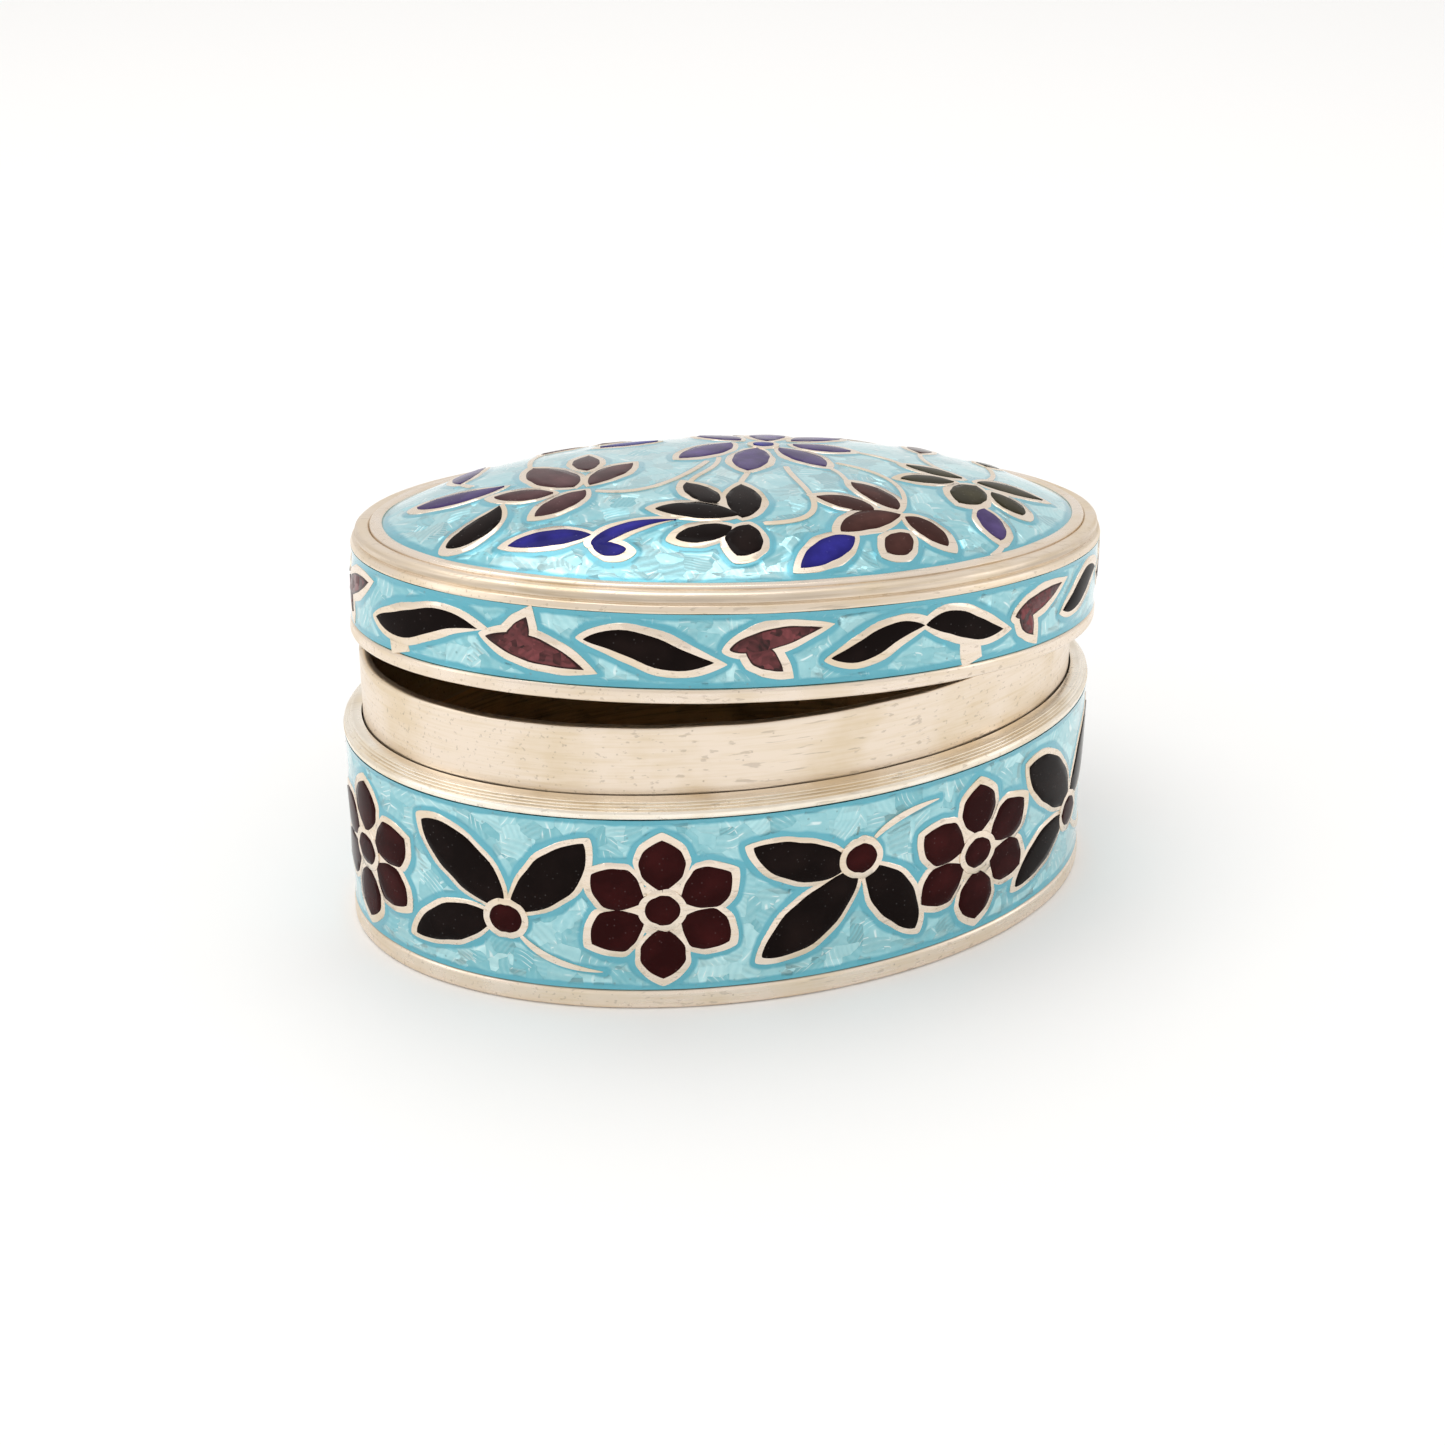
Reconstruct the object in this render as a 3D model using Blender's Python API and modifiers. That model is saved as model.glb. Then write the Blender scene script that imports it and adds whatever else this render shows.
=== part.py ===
"""Oval silver pill box with enamelled sides and a domed, enamelled lift-off lid.

The base is a soldered tray: a floor, a foot rim, a side band, a shoulder and an
upright collar inside them.  The lid is a band closed by two beads and a domed plate,
and it sits loosely over the collar, tipped up at the front left as if just put down.
Frame: +X along the box, -Y to the front, +Z up, origin at the middle of the underside.
"""

import math

import bpy
from mathutils import Euler, Matrix, Vector

MM = 0.001

# Outline, shared by the base and the lid
BOX_LENGTH = 45.0 * MM
BOX_WIDTH = 31.0 * MM

# Gaps kept between neighbouring pieces
SOLDER_GAP = 0.10 * MM
ENAMEL_GAP = 0.05 * MM

# Base, measured up from the underside
FOOT_HEIGHT = 1.20 * MM
BASE_BAND_HEIGHT = 10.70 * MM
SHOULDER_HEIGHT = 0.95 * MM
COLLAR_RISE = 4.04 * MM
COLLAR_REACH_DOWN = 4.00 * MM
BASE_ENAMEL_DEPTH = 0.45 * MM
BASE_BAND_THICKNESS = 0.58 * MM
COLLAR_THICKNESS = 0.60 * MM
FLOOR_THICKNESS = 0.80 * MM
FOOT_ROUNDING = 0.45 * MM
SHOULDER_ROUNDING = 0.40 * MM
COLLAR_ROUNDING = 0.12 * MM

# Lid, measured up from its lower edge
LID_EDGE_HEIGHT = 0.86 * MM
LID_BAND_HEIGHT = 4.10 * MM
LID_ENAMEL_DEPTH = 0.25 * MM
LID_BAND_THICKNESS = 0.30 * MM
LID_EDGE_ROUNDING = 0.22 * MM
OUTER_BEAD_RADIUS = 0.52 * MM
INNER_BEAD_RADIUS = 0.50 * MM
BEAD_STEP_UP = 0.28 * MM
DOME_RISE = 3.00 * MM
DOME_FULLNESS = 3.2
DOME_ENAMEL_DEPTH = 0.35 * MM
DOME_PLATE_THICKNESS = 0.45 * MM

# How the loose lid lies on the collar
LID_SINK = 0.29 * MM  # lower edge of the lid below the collar's top, at the lid's middle
LID_FRONT_RISE = 1.45 * MM  # front edge above the middle
LID_LEFT_RISE = 1.71 * MM  # left end above the middle
LID_SLIP = (1.17, 0.79)  # shift to the right and the back, in shares of the lid's play
LID_SWING = 0.64  # turn about Z, in shares of the play that the oval allows

# Mesh fineness
QUARTER_STEPS = 16
CORNER_STEPS = 3
BEAD_STEPS = 10
DOME_STEPS = 7

# Worked-out sizes
HALF_LENGTH = BOX_LENGTH / 2
HALF_WIDTH = BOX_WIDTH / 2
BASE_BAND_INSET = BASE_ENAMEL_DEPTH + ENAMEL_GAP
BASE_RIM_WIDTH = BASE_BAND_INSET + BASE_BAND_THICKNESS
COLLAR_INSET = BASE_RIM_WIDTH + SOLDER_GAP
SHOULDER_TOP = FOOT_HEIGHT + BASE_BAND_HEIGHT + 2 * ENAMEL_GAP + SHOULDER_HEIGHT
COLLAR_TOP = SHOULDER_TOP + COLLAR_RISE
LID_BAND_INSET = LID_ENAMEL_DEPTH + ENAMEL_GAP
LID_WALL = LID_BAND_INSET + LID_BAND_THICKNESS
LID_PLAY = COLLAR_INSET - LID_WALL
LID_TURN = (
    -math.asin(LID_FRONT_RISE / HALF_WIDTH),
    math.asin(LID_LEFT_RISE / HALF_LENGTH),
    math.asin(LID_SWING * LID_PLAY / (HALF_LENGTH - HALF_WIDTH)),
)
LID_BAND_TOP = LID_EDGE_HEIGHT + LID_BAND_HEIGHT + 2 * ENAMEL_GAP
OUTER_BEAD_INSET = OUTER_BEAD_RADIUS + ENAMEL_GAP
OUTER_BEAD_CENTRE = LID_BAND_TOP + OUTER_BEAD_RADIUS
BEAD_SPREAD = OUTER_BEAD_RADIUS + INNER_BEAD_RADIUS + 1.5 * SOLDER_GAP
INNER_BEAD_INSET = OUTER_BEAD_INSET + math.sqrt(BEAD_SPREAD ** 2 - BEAD_STEP_UP ** 2)
INNER_BEAD_CENTRE = OUTER_BEAD_CENTRE + BEAD_STEP_UP
DOME_INSET = INNER_BEAD_INSET + INNER_BEAD_RADIUS + 1.2 * SOLDER_GAP
DOME_EDGE = INNER_BEAD_CENTRE + DOME_ENAMEL_DEPTH
FLANGE_TOP = INNER_BEAD_CENTRE - INNER_BEAD_RADIUS - SOLDER_GAP
FLANGE_INSET = INNER_BEAD_INSET - INNER_BEAD_RADIUS

SILVER = ((0.80, 0.73, 0.69), 0.30, 1.0)
SILVER_WORN = ((0.72, 0.65, 0.60), 0.38, 1.0)
TURQUOISE = ((0.05, 0.42, 0.45), 0.12, 0.0)


def clear_scene():
    """Remove every object that the file opened with."""
    for item in list(bpy.data.objects):
        bpy.data.objects.remove(item, do_unlink=True)


def new_collection(name):
    """Make a collection and link it to the scene."""
    collection = bpy.data.collections.new(name)
    bpy.context.scene.collection.children.link(collection)
    return collection


def principled(name, look):
    """Make a Principled material from a colour, a roughness and a metallic value."""
    colour, roughness, metallic = look
    material = bpy.data.materials.new(name)
    material.use_nodes = True
    shader = material.node_tree.nodes["Principled BSDF"]
    shader.inputs["Base Color"].default_value = (*colour, 1.0)
    shader.inputs["Roughness"].default_value = roughness
    shader.inputs["Metallic"].default_value = metallic
    return material


def rounded_outline(corners):
    """Turn (x, y, radius) corners into points, with an arc at each rounded corner."""
    points = []
    count = len(corners)
    for index, (x, y, radius) in enumerate(corners):
        here = Vector((x, y))
        if radius == 0.0:
            points.append(here)
            continue
        before = (Vector(corners[index - 1][:2]) - here).normalized()
        after = (Vector(corners[(index + 1) % count][:2]) - here).normalized()
        half_angle = before.angle(after) / 2
        centre = here + (before + after).normalized() * radius / math.sin(half_angle)
        start = (here + before * radius / math.tan(half_angle) - centre).normalized()
        end = (here + after * radius / math.tan(half_angle) - centre).normalized()
        for step in range(CORNER_STEPS + 1):
            points.append(centre + start.slerp(end, step / CORNER_STEPS) * radius)
    return points


def circle_outline(x, y, radius):
    """Give the points of a round section, anticlockwise."""
    turn = 2 * math.pi / BEAD_STEPS
    return [
        Vector((x + radius * math.cos(i * turn), y + radius * math.sin(i * turn)))
        for i in range(BEAD_STEPS)
    ]


def oval_curve(name, inset, dimensions):
    """Make a closed Bezier oval, drawn in from the box's outline by inset."""
    half_length = HALF_LENGTH - inset
    half_width = HALF_WIDTH - inset
    handle = 4 * (math.sqrt(2) - 1) / 3
    curve = bpy.data.curves.new(name, "CURVE")
    curve.dimensions = dimensions
    curve.resolution_u = QUARTER_STEPS
    spline = curve.splines.new("BEZIER")
    spline.bezier_points.add(3)
    spline.use_cyclic_u = True
    for quarter, point in enumerate(spline.bezier_points):
        angle = quarter * math.pi / 2
        across = Vector((math.cos(angle), math.sin(angle), 0.0))
        along = Vector((-math.sin(angle), math.cos(angle), 0.0)) * handle
        stretch = Matrix.Diagonal((half_length, half_width, 1.0))
        point.co = stretch @ across
        point.handle_left = stretch @ (across - along)
        point.handle_right = stretch @ (across + along)
    return curve


def add_object(name, data, material, parent):
    """Put one named piece in the pill box's collection."""
    item = bpy.data.objects.new(name, data)
    data.materials.append(material)
    parts.objects.link(item)
    item.parent = parent
    return item


def ring(name, outline, material, parent=None):
    """Sweep a section, given as (depth inward, height) points, round the box's oval."""
    section = bpy.data.curves.new(name + "_section", "CURVE")
    section.dimensions = "2D"
    spline = section.splines.new("POLY")
    spline.points.add(len(outline) - 1)
    spline.use_cyclic_u = True
    for point, place in zip(spline.points, outline):
        point.co = (-place.x, place.y, 0.0, 1.0)
    guide = bpy.data.objects.new(name + "_section", section)
    guide.hide_render = True
    guide.display_type = "WIRE"
    guides.objects.link(guide)
    curve = oval_curve(name, 0.0, "3D")
    curve.twist_mode = "Z_UP"
    curve.bevel_mode = "OBJECT"
    curve.bevel_object = guide
    return add_object(name, curve, material, parent)


def band_outline(inset, thickness, bottom, top):
    """Give the plain rectangular section of a band."""
    return rounded_outline([
        (inset, bottom, 0.0),
        (inset + thickness, bottom, 0.0),
        (inset + thickness, top, 0.0),
        (inset, top, 0.0),
    ])


def domed_shell(name, profile, inset, thickness, material, parent):
    """Turn a profile about Z, stretch it to the oval and thicken it downward."""
    mesh = bpy.data.meshes.new(name + "_profile")
    edges = [(i, i + 1) for i in range(len(profile) - 1)]
    mesh.from_pydata([(x, 0.0, z) for x, z in profile], edges, [])
    turned = bpy.data.objects.new(name + "_profile", mesh)
    guides.objects.link(turned)
    screw = turned.modifiers.new("Turn", "SCREW")
    screw.steps = 4 * QUARTER_STEPS
    screw.render_steps = 4 * QUARTER_STEPS
    screw.use_merge_vertices = True
    screw.merge_threshold = 0.00001
    depsgraph = bpy.context.evaluated_depsgraph_get()
    shell = bpy.data.meshes.new_from_object(turned.evaluated_get(depsgraph))
    bpy.data.objects.remove(turned)
    stretch = (HALF_LENGTH - inset) / (HALF_WIDTH - inset)
    shell.transform(Matrix.Diagonal((stretch, 1.0, 1.0, 1.0)))
    shell.shade_smooth()
    item = add_object(name, shell, material, parent)
    solidify = item.modifiers.new("Thickness", "SOLIDIFY")
    solidify.thickness = thickness
    solidify.offset = -1.0
    solidify.use_even_offset = True
    return item


def dome_profile(radius, edge, steps=DOME_STEPS):
    """Give points from the apex to the rim of a full, flat-topped dome."""
    points = []
    for step in range(steps + 1):
        share = math.sin(0.5 * math.pi * step / steps)
        height = edge + DOME_RISE * (1 - share ** DOME_FULLNESS)
        points.append((radius * share, height))
    return points


def build_base(silver, worn, enamel):
    """Make the tray: floor, foot rim, band, shoulder, collar and the enamel round it."""
    floor = oval_curve("base_floor", COLLAR_INSET, "2D")
    floor.fill_mode = "BOTH"
    floor.extrude = FLOOR_THICKNESS / 2
    add_object("base_floor", floor, worn, None).location.z = FLOOR_THICKNESS / 2

    ring("base_foot_rim", rounded_outline([
        (0.0, 0.0, FOOT_ROUNDING),
        (BASE_RIM_WIDTH, 0.0, 0.0),
        (BASE_RIM_WIDTH, FOOT_HEIGHT, 0.0),
        (0.0, FOOT_HEIGHT, 0.0),
    ]), silver)

    band_bottom = FOOT_HEIGHT + ENAMEL_GAP
    band_top = band_bottom + BASE_BAND_HEIGHT
    ring("base_side_band", band_outline(
        BASE_BAND_INSET, BASE_BAND_THICKNESS, band_bottom, band_top), silver)
    ring("base_side_enamel", band_outline(
        0.0, BASE_ENAMEL_DEPTH, band_bottom, band_top), enamel)

    shoulder_bottom = band_top + ENAMEL_GAP
    ring("base_shoulder", rounded_outline([
        (0.0, shoulder_bottom, 0.0),
        (BASE_RIM_WIDTH, shoulder_bottom, 0.0),
        (BASE_RIM_WIDTH, SHOULDER_TOP, 0.0),
        (0.0, SHOULDER_TOP, SHOULDER_ROUNDING),
    ]), silver)

    ring("base_collar", rounded_outline([
        (COLLAR_INSET, SHOULDER_TOP - COLLAR_REACH_DOWN, 0.0),
        (COLLAR_INSET + COLLAR_THICKNESS, SHOULDER_TOP - COLLAR_REACH_DOWN, 0.0),
        (COLLAR_INSET + COLLAR_THICKNESS, COLLAR_TOP, COLLAR_ROUNDING),
        (COLLAR_INSET, COLLAR_TOP, COLLAR_ROUNDING),
    ]), worn)


def build_lid(silver, enamel):
    """Make the lid round an empty that holds it as it lies on the collar."""
    lid = bpy.data.objects.new("lid_place", None)
    guides.objects.link(lid)
    lid.location = (LID_SLIP[0] * LID_PLAY, LID_SLIP[1] * LID_PLAY, COLLAR_TOP - LID_SINK)
    lid.rotation_euler = Euler(LID_TURN)

    ring("lid_edge_rim", rounded_outline([
        (0.0, 0.0, LID_EDGE_ROUNDING),
        (LID_WALL, 0.0, 0.0),
        (LID_WALL, LID_EDGE_HEIGHT, 0.0),
        (0.0, LID_EDGE_HEIGHT, 0.0),
    ]), silver, lid)

    band_bottom = LID_EDGE_HEIGHT + ENAMEL_GAP
    band_top = band_bottom + LID_BAND_HEIGHT
    ring("lid_side_band", band_outline(
        LID_BAND_INSET, LID_BAND_THICKNESS, band_bottom, band_top), silver, lid)
    ring("lid_side_enamel", band_outline(
        0.0, LID_ENAMEL_DEPTH, band_bottom, band_top), enamel, lid)
    ring("lid_outer_bead", circle_outline(
        OUTER_BEAD_INSET, OUTER_BEAD_CENTRE, OUTER_BEAD_RADIUS), silver, lid)
    ring("lid_inner_bead", circle_outline(
        INNER_BEAD_INSET, INNER_BEAD_CENTRE, INNER_BEAD_RADIUS), silver, lid)

    dome_radius = HALF_WIDTH - DOME_INSET
    domed_shell("lid_dome_enamel", dome_profile(dome_radius, DOME_EDGE),
                DOME_INSET, DOME_ENAMEL_DEPTH, enamel, lid)
    plate_edge = DOME_EDGE - DOME_ENAMEL_DEPTH - 2 * ENAMEL_GAP
    plate_radius = dome_radius - ENAMEL_GAP
    profile = dome_profile(plate_radius, plate_edge)
    narrowing = (HALF_WIDTH - DOME_INSET) / (HALF_LENGTH - DOME_INSET)
    flange_radius = (HALF_LENGTH - FLANGE_INSET) * narrowing
    profile.append((plate_radius, FLANGE_TOP))
    profile.append((flange_radius, FLANGE_TOP))
    domed_shell("lid_dome_plate", profile, DOME_INSET, DOME_PLATE_THICKNESS, silver, lid)


def main():
    """Build the whole box."""
    silver = principled("silver", SILVER)
    worn = principled("worn_silver", SILVER_WORN)
    enamel = principled("turquoise_enamel", TURQUOISE)
    build_base(silver, worn, enamel)
    build_lid(silver, enamel)
    bpy.context.view_layer.update()


clear_scene()
parts = new_collection("pill_box")
guides = new_collection("guides")
main()
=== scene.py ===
"""Oval silver pill box with enamelled flowers: the finished surfaces.

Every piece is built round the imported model, which gives the sizes, the places and the
bodies. Two maps carry the ornament onto the metal: a wall map takes (distance round
the oval, height, stand-off), and a dome map takes (x, y, stand-off) in the lid's frame.
"""

import math
from typing import NamedTuple

import bpy
import numpy as np
from mathutils import Matrix, Vector


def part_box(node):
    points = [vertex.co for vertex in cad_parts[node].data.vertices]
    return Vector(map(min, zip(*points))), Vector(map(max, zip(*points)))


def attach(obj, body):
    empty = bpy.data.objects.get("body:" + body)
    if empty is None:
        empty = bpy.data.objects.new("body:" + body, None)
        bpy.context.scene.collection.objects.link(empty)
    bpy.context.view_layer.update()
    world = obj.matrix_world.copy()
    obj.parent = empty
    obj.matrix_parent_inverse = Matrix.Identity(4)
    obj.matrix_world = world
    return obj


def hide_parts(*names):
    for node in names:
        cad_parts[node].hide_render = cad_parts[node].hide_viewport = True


bl_info = {
    "name": "Enamelled Pill Box",
    "version": (1, 0, 0),
    "blender": (4, 5, 0),
    "location": "View3D > Sidebar > Pill Box",
    "description": "Builds a silver pill box with enamelled flowers and a loose lid",
    "category": "Add Mesh",
}

MM = 0.001
ON_AXIS = 0.05 * MM  # points nearer the long axis than this lie on it
OUTERMOST = 0.999  # share of the oval radius past which a point is at the edge
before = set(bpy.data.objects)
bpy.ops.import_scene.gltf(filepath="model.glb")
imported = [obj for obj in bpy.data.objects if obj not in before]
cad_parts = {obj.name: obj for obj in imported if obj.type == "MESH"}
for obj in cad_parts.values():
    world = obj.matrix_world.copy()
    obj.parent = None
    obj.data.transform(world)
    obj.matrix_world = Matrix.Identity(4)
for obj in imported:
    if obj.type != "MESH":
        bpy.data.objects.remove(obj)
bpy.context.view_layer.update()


# ---------------------------------------------------------------- sizes from the frame


def node_points(node):
    """Give a CAD node's distinct points."""
    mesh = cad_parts[node].data
    flat = np.empty(len(mesh.vertices) * 3)
    mesh.vertices.foreach_get("co", flat)
    return np.unique(flat.reshape(-1, 3).round(7), axis=0)


def lid_rest_matrix():
    """Find the lid's own frame from its edge rim: the ring's long axis, its normal and
    the middle of its lower edge."""
    points = node_points("lid_edge_rim")
    middle = points.mean(axis=0)
    axes = np.linalg.svd(points - middle, full_matrices=False)[2]
    along = axes[0] * np.sign(axes[0][0])
    up = axes[2] * np.sign(axes[2][2])
    across = np.cross(up, along)
    origin = middle + up * ((points - middle) @ up).min()
    matrix = np.eye(4)
    matrix[:3, :3] = np.column_stack([along, across, up])
    matrix[:3, 3] = origin
    return matrix


LID = lid_rest_matrix()


class Section(NamedTuple):
    """A ring's section: its two faces' depths inside the outline, and its heights."""

    outer: float
    inner: float
    bottom: float
    top: float


def ring_section(node):
    """Read a ring's section from the points that lie on its long axis, at the +X end."""
    points = node_points(node)
    if node.startswith("lid_"):
        points = (points - LID[:3, 3]) @ LID[:3, :3]
    end = points[(points[:, 0] > 0) & (np.abs(points[:, 1]) < ON_AXIS)]
    return Section(
        HALF_LENGTH - end[:, 0].max(),
        HALF_LENGTH - end[:, 0].min(),
        points[:, 2].min(),
        points[:, 2].max(),
    )


def dome_edge_height():
    """Read how high the dome's enamel starts, from its outermost points."""
    points = (node_points("lid_dome_enamel") - LID[:3, 3]) @ LID[:3, :3]
    reach = np.hypot(points[:, 0] / points[:, 0].max(), points[:, 1] / points[:, 1].max())
    return points[reach > OUTERMOST, 2].max()


HALF_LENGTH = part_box("base_foot_rim")[1].x
HALF_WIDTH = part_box("base_foot_rim")[1].y
FOOT = ring_section("base_foot_rim")
BAND = ring_section("base_side_band")
BASE_GLAZE = ring_section("base_side_enamel")
SHOULDER = ring_section("base_shoulder")
COLLAR = ring_section("base_collar")
LID_EDGE = ring_section("lid_edge_rim")
LID_BAND = ring_section("lid_side_band")
LID_GLAZE = ring_section("lid_side_enamel")
DOME_GLAZE = ring_section("lid_dome_enamel")
DOME_FULLNESS = 3.2
DOME_REACH = 1.02  # the oval radius past which the dome falls no further
DOME_LAP = 0.65 * MM  # how far the glass laps over the inner bead
DOME_LENGTH = HALF_LENGTH - DOME_GLAZE.outer + DOME_LAP
DOME_WIDTH = HALF_WIDTH - DOME_GLAZE.outer + DOME_LAP
DOME_THICKNESS = 0.35 * MM
DOME_EDGE = dome_edge_height()
DOME_RISE = DOME_GLAZE.top - DOME_EDGE

# Lookup of the oval outline by the distance round it, from the middle of the front
ANGLES = np.linspace(-0.5 * math.pi, 1.5 * math.pi, 4097)
OUTLINE = np.column_stack([HALF_LENGTH * np.cos(ANGLES), HALF_WIDTH * np.sin(ANGLES)])
DISTANCES = np.concatenate(
    [[0.0], np.cumsum(np.linalg.norm(np.diff(OUTLINE, axis=0), axis=1))]
)
PERIMETER = DISTANCES[-1]


# ---------------------------------------------------------------- maps onto the metal


def on_base(around, height, proud):
    """Wall map of the base: the outline's point at the distance round it, moved out
    along the outline's normal by proud and up by height."""
    angle = np.interp(np.mod(around, PERIMETER), DISTANCES, ANGLES)
    cosine, sine = np.cos(angle), np.sin(angle)
    normal_x, normal_y = HALF_WIDTH * cosine, HALF_LENGTH * sine
    size = np.hypot(normal_x, normal_y)
    x = HALF_LENGTH * cosine + proud * normal_x / size
    y = HALF_WIDTH * sine + proud * normal_y / size
    return np.stack(np.broadcast_arrays(x, y, height), axis=-1)


def to_rest(points):
    """Carry points from the lid's frame to where the lid lies."""
    return points @ LID[:3, :3].T + LID[:3, 3]


def on_lid(around, height, proud):
    """Wall map of the lid: as the base's, then carried to where the lid lies."""
    return to_rest(on_base(around, height, proud))


def dome_height(x, y):
    """Height of the dome: its rise times one less the oval radius to a power."""
    radius = np.sqrt((x / DOME_LENGTH) ** 2 + (y / DOME_WIDTH) ** 2)
    radius = np.minimum(radius, DOME_REACH)
    return DOME_EDGE + DOME_RISE * (1.0 - radius ** DOME_FULLNESS)


SLOPE_STEP = 0.05 * MM


def on_dome(x, y, proud):
    """Dome map: the dome's point above (x, y), moved along the dome's normal, which
    comes from the slopes of its height."""
    step = SLOPE_STEP
    slope_x = (dome_height(x + step, y) - dome_height(x - step, y)) / (2 * step)
    slope_y = (dome_height(x, y + step) - dome_height(x, y - step)) / (2 * step)
    size = np.sqrt(slope_x ** 2 + slope_y ** 2 + 1.0)
    points = np.stack([
        x - proud * slope_x / size,
        y - proud * slope_y / size,
        dome_height(x, y) + proud / size,
    ], axis=-1)
    return to_rest(points)


# The body that each map lays its pieces on
BODY_UNDER = {on_base: "base", on_lid: "lid", on_dome: "lid"}


# ---------------------------------------------------------------- mesh building

SHARP_ANGLE = math.radians(50)
RING_STEPS = 480
DEPTH_SEED = 50


def grid_faces(rows, columns, close_rows, close_columns):
    """Give the quads of a rows by columns grid, with its edges joined where asked."""
    i = np.arange(rows if close_rows else rows - 1)[:, None]
    j = np.arange(columns if close_columns else columns - 1)[None, :]
    i_next, j_next = (i + 1) % rows, (j + 1) % columns
    corners = [i * columns + j, i * columns + j_next,
               i_next * columns + j_next, i_next * columns + j]
    return np.stack([corner.ravel() for corner in corners], axis=-1)


def enclosed_volume(points, faces):
    """Sum the signed volumes under the faces' two triangles."""
    a, b, c, d = (points[faces[:, k]] for k in range(4))
    first = np.einsum("ij,ij->i", a, np.cross(b, c))
    second = np.einsum("ij,ij->i", a, np.cross(c, d))
    return (first.sum() + second.sum()) / 6.0


def close_poles(points):
    """Draw the first and the last row of a grid of points together, each to its middle."""
    points[0] = points[0].mean(axis=0)
    points[-1] = points[-1].mean(axis=0)
    return points


def add_piece(name, points, faces, material, body, layers, stands_for=None):
    """Make a mesh from point and quad arrays, faces outward, and put it on its body."""
    points = points.reshape(-1, 3)
    if enclosed_volume(points - points.mean(axis=0), faces) < 0:
        faces = faces[:, ::-1]
    mesh = bpy.data.meshes.new(name)
    mesh.vertices.add(len(points))
    mesh.vertices.foreach_set("co", points.astype(np.float32).ravel())
    mesh.loops.add(faces.size)
    mesh.loops.foreach_set("vertex_index", faces.astype(np.int32).ravel())
    mesh.polygons.add(len(faces))
    mesh.polygons.foreach_set("loop_start", np.arange(0, faces.size, 4, dtype=np.int32))
    mesh.update(calc_edges=True)
    for layer, values in layers.items():
        values = np.asarray(values, dtype=np.float32).ravel()
        mesh.attributes.new(layer, "FLOAT", "POINT").data.foreach_set("value", values)
    mesh.shade_smooth()
    mesh.set_sharp_from_angle(angle=SHARP_ANGLE)
    mesh.validate()
    mesh.materials.append(material)
    piece = bpy.data.objects.new(name, mesh)
    bpy.context.scene.collection.objects.link(piece)
    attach(piece, body)
    if stands_for:
        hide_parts(stands_for)


def rounded_loop(corners, arc_steps=6):
    """Turn (depth, height, radius) corners into a closed loop of points. A rounded
    corner is a quadratic arc between the points one radius back along its sides."""
    loop = []
    count = len(corners)
    for index, (depth, height, radius) in enumerate(corners):
        here = np.array([depth, height])
        if radius == 0.0:
            loop.append(here[None, :])
            continue
        back = np.array(corners[index - 1][:2]) - here
        ahead = np.array(corners[(index + 1) % count][:2]) - here
        start = here + back / np.linalg.norm(back) * radius
        end = here + ahead / np.linalg.norm(ahead) * radius
        t = np.linspace(0.0, 1.0, arc_steps + 1)[:, None]
        loop.append((1 - t) ** 2 * start + 2 * t * (1 - t) * here + t ** 2 * end)
    return np.concatenate(loop)


def ripple(around, seed, cycles=(5, 9, 14, 23)):
    """A gentle hand-made waver: sines that each repeat whole times round the oval."""
    phases = np.random.default_rng(seed).uniform(0, 2 * math.pi, len(cycles))
    turn = 2 * math.pi * around / PERIMETER
    waves = [np.sin(count * turn + phase) for count, phase in zip(cycles, phases)]
    return sum(waves) / len(cycles)


def ring(name, loop, wall_map, material, stands_for, waver=0.0, seed=1,
         shade_and_grime=None):
    """Sweep a closed (depth, height) loop round the oval, with a slight waver in its
    height and depth. The darkening values, one per loop point, mark the seams and
    hollows that the metal paints darker: painted shade, with some real dirt."""
    around = np.linspace(0.0, PERIMETER, RING_STEPS, endpoint=False)[:, None]
    height = loop[None, :, 1] + waver * ripple(around, seed)
    sideways = ripple(around, seed + DEPTH_SEED, (7, 12, 19))
    depth = loop[None, :, 0] + 0.5 * waver * sideways
    points = wall_map(around, height, -depth)
    faces = grid_faces(RING_STEPS, len(loop), True, True)
    values = np.zeros(len(loop)) if shade_and_grime is None else shade_and_grime
    layers = {"shade_and_grime": np.broadcast_to(values[None, :], (RING_STEPS, len(loop)))}
    add_piece(name, points, faces, material, BODY_UNDER[wall_map], layers, stands_for)


def near(loop, height, reach):
    """Mark loop points that lie within reach of a height, fading away from it."""
    return np.clip(1.0 - np.abs(loop[:, 1] - height) / reach, 0.0, 1.0)


# ---------------------------------------------------------------- ornament


class Cell(NamedTuple):
    """One enamelled cell: a spine from base to tip with a sideways bend, the half-width
    at the widest place, where along the spine that is, how pointed the ends are, how
    much higher than its neighbours it stands, and an S-shaped sway. Lengths are in
    millimetres."""

    base: tuple
    tip: tuple
    half_width: float
    bend: float = 0.0
    peak: float = 0.5
    point: float = 1.7
    lift: float = 0.0
    sway: float = 0.0


EYE_LIFT = 0.058
SPINE_STEPS = 28
# Across a cell: shares of its half-width, with the foot points first and last
ACROSS = np.array([-1.0, -1.0, -0.94, -0.6, 0.0, 0.6, 0.94, 1.0, 1.0])
EDGE_EASE = 0.35  # how far the edge points drop, as a share of the height there
POINTED = 1.2  # cells more pointed than this get longer silver tips
TIP_STRETCH = 1.7
# Hand-cut edges: share of the width, waves along the cell, and shift from cell to cell
WAVERS = ((0.035, 9.0, 2.1), (0.02, 23.0, 1.3))
# Small steps in height, so that cells that cross don't share a surface
LAYERS = 7
LAYER_STEP = 0.0015 * MM

WIRE_STEPS = 40
WIRE_ACROSS = np.array([-1.0, -0.85, 0.0, 0.85, 1.0])
WIRE_CREST = 0.01 * MM


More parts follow.
